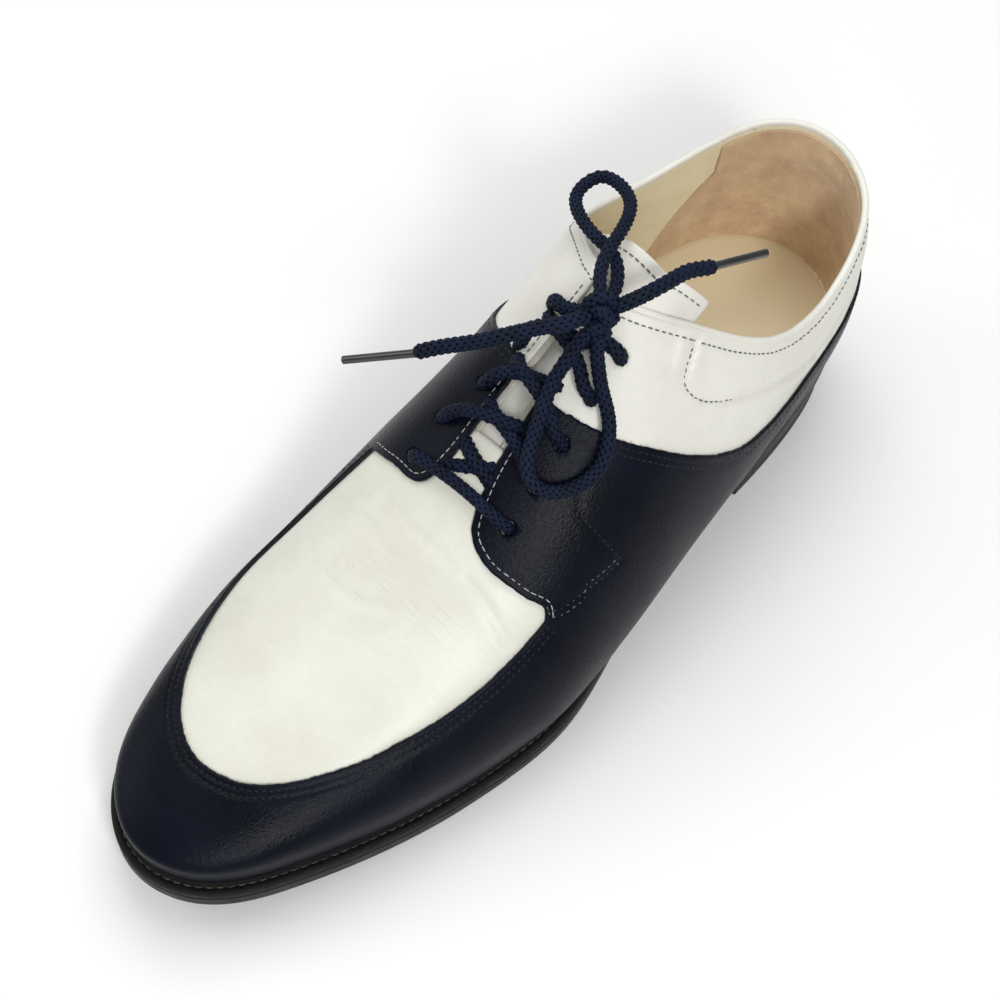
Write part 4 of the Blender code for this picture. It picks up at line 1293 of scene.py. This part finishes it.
def line_frame(line, inward):
    """Line on the surface, its normals, its direction, and the direction across to where the test is true."""
    places, normals = SKIN.onto(line)
    along = unit(np.gradient(places, axis=0))
    across = unit(np.cross(normals, along))
    across *= np.where(inward(places + across * 1.5), 1, -1)[:, None]
    return places, normals, along, across


def beside(line, shift, inward):
    """Line moved sideways over the surface, to the side where the test is true."""
    places, _, _, across = line_frame(line, inward)
    moved, _ = SKIN.onto(places + across * shift)
    return drawn(moved[::5])


def make_seams():
    """Rows of stitching that hold the panels together."""
    def outside(places):
        return ~over_opening(places)

    def lower(places):
        return below(SADDLE_EDGE, places)

    def above_seam(places):
        return places[:, 2] > np.interp(places[:, 1], [-140, -114], [57.5, 59.8])

    dark = [beside(line, row, side) for line, side in ((LINE_APRON, outside), (LINE_SADDLE, lower))
            for row in SEAM_ROWS]
    tack = SKIN.onto(drawn(BAR_TACK))[0]
    dark += [LINE_DOTS, tack, SKIN.onto(tack + (1.6, 0.3, 0))[0]]
    stitches("navy_stitches", dark, "navy_thread", 2.1, 1.6, 0.55, 0.05)
    facing = LINE_LATERAL[LINE_LATERAL[:, 1] < -66]
    rows = [beside(line, FACING_ROW, outside) for line in (LINE_MEDIAL, facing)]
    rows = [row[row[:, 1] < TOP_FRONT] for row in rows]
    stitches("facing_stitches", [row[~on_white(row)] for row in rows], "pale_thread", 2.4, 2.15, 0.38, 0.02)
    seams = [LINE_SEAM, beside(LINE_SEAM, 1.7, above_seam)]
    stitches("saddle_stitches", seams, "grey_thread", 2.1, 1.6, 0.42, 0.12)
    collar = [beside(LINE_TOP, COLLAR_ROW, lambda places: below(TOPLINE, places)),
              SKIN.onto(drawn(COLLAR_PAD[:SEWN_PAD_POINTS]))[0]]
    collar += [row[on_white(row)] for row in rows]
    stitches("collar_stitches", collar, "grey_thread", 2.1, 1.6, 0.5, -0.1)
    front = TONGUE_BACK - TONGUE_ROW
    tongue = np.array([LAST.on_top(front + TONGUE_SLANT * max(offset - 12, 0), offset)[0]
                       for offset in np.linspace(26, -17, 40)])
    tongue = SKIN.onto(tongue, TONGUE_DEPTH[0])[0]
    stitches("tongue_stitches", [tongue], "grey_thread", 2.2, 1.6, 0.5, -0.08, True)


def make_fibres():
    """Short stray fibres of the hide's split along the raw edges round the apron and the saddle."""
    def upper(places):
        return ~below(SADDLE_EDGE, places)

    rng = np.random.default_rng(21)
    saddle = LINE_SADDLE[on_leather(LINE_SADDLE)]
    points = []
    faces = []
    for line, inward in ((LINE_APRON, over_opening), (saddle[saddle[:, 0] > -4], upper),
                         (saddle[saddle[:, 0] < -4], upper)):
        places, normals, along, across = line_frame(line, inward)
        for i in np.arange(0, len(places) - 1, FIBRE_STEP).astype(int):
            length = rng.uniform(0.25, 0.9)
            root = (places[i] - across[i] * 0.35 - normals[i] * rng.uniform(0.3, 0.9)
                    + along[i] * rng.uniform(-0.3, 0.3))
            lean = across[i] + along[i] * rng.normal(0, 0.5) + normals[i] * rng.normal(0.05, 0.3)
            start = len(points)
            for turn in (0, 2.1, 4.2):
                points.append(root + along[i] * math.cos(turn) * 0.09 + normals[i] * math.sin(turn) * 0.09)
            points.append(root + unit(lean) * (length + 0.35))
            faces += [(start, start + 1, start + 3), (start + 1, start + 2, start + 3),
                      (start + 2, start, start + 3), (start + 2, start + 1, start)]
    settle(new_piece("edge_fibres", points, faces), materials=("navy_raw_edge",))


def make_stage():
    """Pale floor, soft studio light and the camera at the photograph's place."""
    floor = bpy.data.meshes.new("floor")
    corners = [(x * FLOOR_HALF, y * FLOOR_HALF, 0) for x, y in ((-1, -1), (1, -1), (1, 1), (-1, 1))]
    floor.from_pydata(corners, [], [(0, 1, 2, 3)])
    ground = bpy.data.objects.new("floor", floor)
    bpy.context.collection.objects.link(ground)
    material = bpy.data.materials.new("matt_white_paper")
    material.use_nodes = True
    shader = material.node_tree.nodes["Principled BSDF"]
    shader.inputs["Base Color"].default_value = linear("#F4F4F3")
    shader.inputs["Roughness"].default_value = 0.9
    floor.materials.append(material)
    world = bpy.data.worlds.new("studio")
    world.use_nodes = True
    background = world.node_tree.nodes["Background"]
    background.inputs["Color"].default_value = (1, 1, 1, 1)
    background.inputs["Strength"].default_value = 0.35
    bpy.context.scene.world = world
    bpy.context.scene.view_settings.view_transform = "Standard"
    for name, (place, size, power) in LAMPS.items():
        light = bpy.data.lights.new(name, "AREA")
        light.size = size
        light.energy = power
        lamp = bpy.data.objects.new(name, light)
        bpy.context.collection.objects.link(lamp)
        lamp.location = place
        lamp.rotation_euler = (Vector(place) - Vector(LIT_POINT)).to_track_quat("Z", "Y").to_euler()
    azimuth, elevation, roll = (math.radians(a) for a in (CAMERA_AZIMUTH, CAMERA_ELEVATION, CAMERA_ROLL))
    back = Vector((math.sin(azimuth) * math.cos(elevation), -math.cos(azimuth) * math.cos(elevation),
                   math.sin(elevation)))
    right = Vector((math.cos(azimuth), math.sin(azimuth), 0))
    up = back.cross(right)
    rolled_right = right * math.cos(roll) + up * math.sin(roll)
    rolled_up = up * math.cos(roll) - right * math.sin(roll)
    data = bpy.data.cameras.new("photo_camera")
    data.lens = CAMERA_LENS
    data.sensor_width = 36
    data.clip_start = 0.01
    camera = bpy.data.objects.new("photo_camera", data)
    bpy.context.collection.objects.link(camera)
    turned = Matrix((rolled_right, rolled_up, back)).transposed().to_4x4()
    camera.matrix_world = Matrix.Translation(Vector(CAMERA_PLACE) * MM) @ turned
    bpy.context.scene.camera = camera


class ShoeSizes(bpy.types.PropertyGroup):
    """Sizes that a user would change."""
    lace_diameter: bpy.props.FloatProperty(name="Lace diameter", description="Thickness of the round lace",
                                           default=0.0044, min=0.002, max=0.008, unit="LENGTH")


def colour(name, described, code):
    return bpy.props.FloatVectorProperty(name=name, description=described, default=linear(code), size=4,
                                         min=0, max=1, subtype="COLOR")


class ShoeColours(bpy.types.PropertyGroup):
    """Light shade of each leather and of the lace; the dark shade follows it."""
    navy: colour("Navy leather", "Vamp, band and saddle", FINISHES["navy_calf"][1])
    white: colour("White leather", "Quarters, tongue and collar", FINISHES["white_calf"][1])
    toe_white: colour("Apron leather", "White plug over the toes", FINISHES["creased_white_calf"][1])
    lining: colour("Lining", "Inside of the collar and facings", FINISHES["cream_lining"][1])
    suede: colour("Heel grip", "Suede inside the heel", FINISHES["tan_suede"][1])
    lace: colour("Lace", "Braided lace and bow", FINISHES["braided_cotton"][1])


class SHOE_OT_uppers(bpy.types.Operator):
    """Navy vamp and saddle, white plug and quarters, tongue, lining and collar edge"""
    bl_idname = "shoe.uppers"
    bl_label = "Leather panels"

    def execute(self, context):
        make_vamp()
        make_plug()
        make_quarters()
        make_tongue()
        make_lining()
        make_collar_edge()
        return {"FINISHED"}


class SHOE_OT_bottom(bpy.types.Operator):
    """Welt, outsole, heel and sock lining"""
    bl_idname = "shoe.bottom"
    bl_label = "Sole and heel"

    def execute(self, context):
        make_sole()
        make_sock()
        return {"FINISHED"}


class SHOE_OT_stitching(bpy.types.Operator):
    """Rows of stitches on the panels"""
    bl_idname = "shoe.stitching"
    bl_label = "Stitching"

    def execute(self, context):
        make_seams()
        make_fibres()
        return {"FINISHED"}


class SHOE_OT_laces(bpy.types.Operator):
    """Lacing through the eyelets, knot, loops and ends"""
    bl_idname = "shoe.laces"
    bl_label = "Laces and bow"

    def execute(self, context):
        make_lacing()
        make_knot()
        make_bow()
        return {"FINISHED"}


class SHOE_OT_stage(bpy.types.Operator):
    """Floor, lights and camera"""
    bl_idname = "shoe.stage"
    bl_label = "Stage"

    def execute(self, context):
        make_stage()
        return {"FINISHED"}


class SHOE_PT_panel(bpy.types.Panel):
    """Lists the steps that build the shoe"""
    bl_label = "Saddle shoe"
    bl_idname = "SHOE_PT_panel"
    bl_space_type = "VIEW_3D"
    bl_region_type = "UI"
    bl_category = "Shoe"

    def draw(self, context):
        self.layout.prop(context.scene.shoe, "lace_diameter")
        for name in ShoeColours.__annotations__:
            self.layout.prop(context.scene.shoe_colours, name)
        for step in STEPS:
            self.layout.operator(step.bl_idname)


STEPS = (SHOE_OT_stage, SHOE_OT_laces, SHOE_OT_uppers, SHOE_OT_bottom, SHOE_OT_stitching)


def register():
    for kind in (ShoeSizes, ShoeColours, *STEPS, SHOE_PT_panel):
        bpy.utils.register_class(kind)
    bpy.types.Scene.shoe = bpy.props.PointerProperty(type=ShoeSizes)
    bpy.types.Scene.shoe_colours = bpy.props.PointerProperty(type=ShoeColours)


def unregister():
    del bpy.types.Scene.shoe
    del bpy.types.Scene.shoe_colours
    for kind in (SHOE_PT_panel, *STEPS[::-1], ShoeColours, ShoeSizes):
        bpy.utils.unregister_class(kind)


def main():
    register()
    bpy.ops.shoe.stage()
    bpy.ops.shoe.laces()
    bpy.ops.shoe.uppers()
    bpy.ops.shoe.bottom()
    bpy.ops.shoe.stitching()


if __name__ == "__main__":
    main()
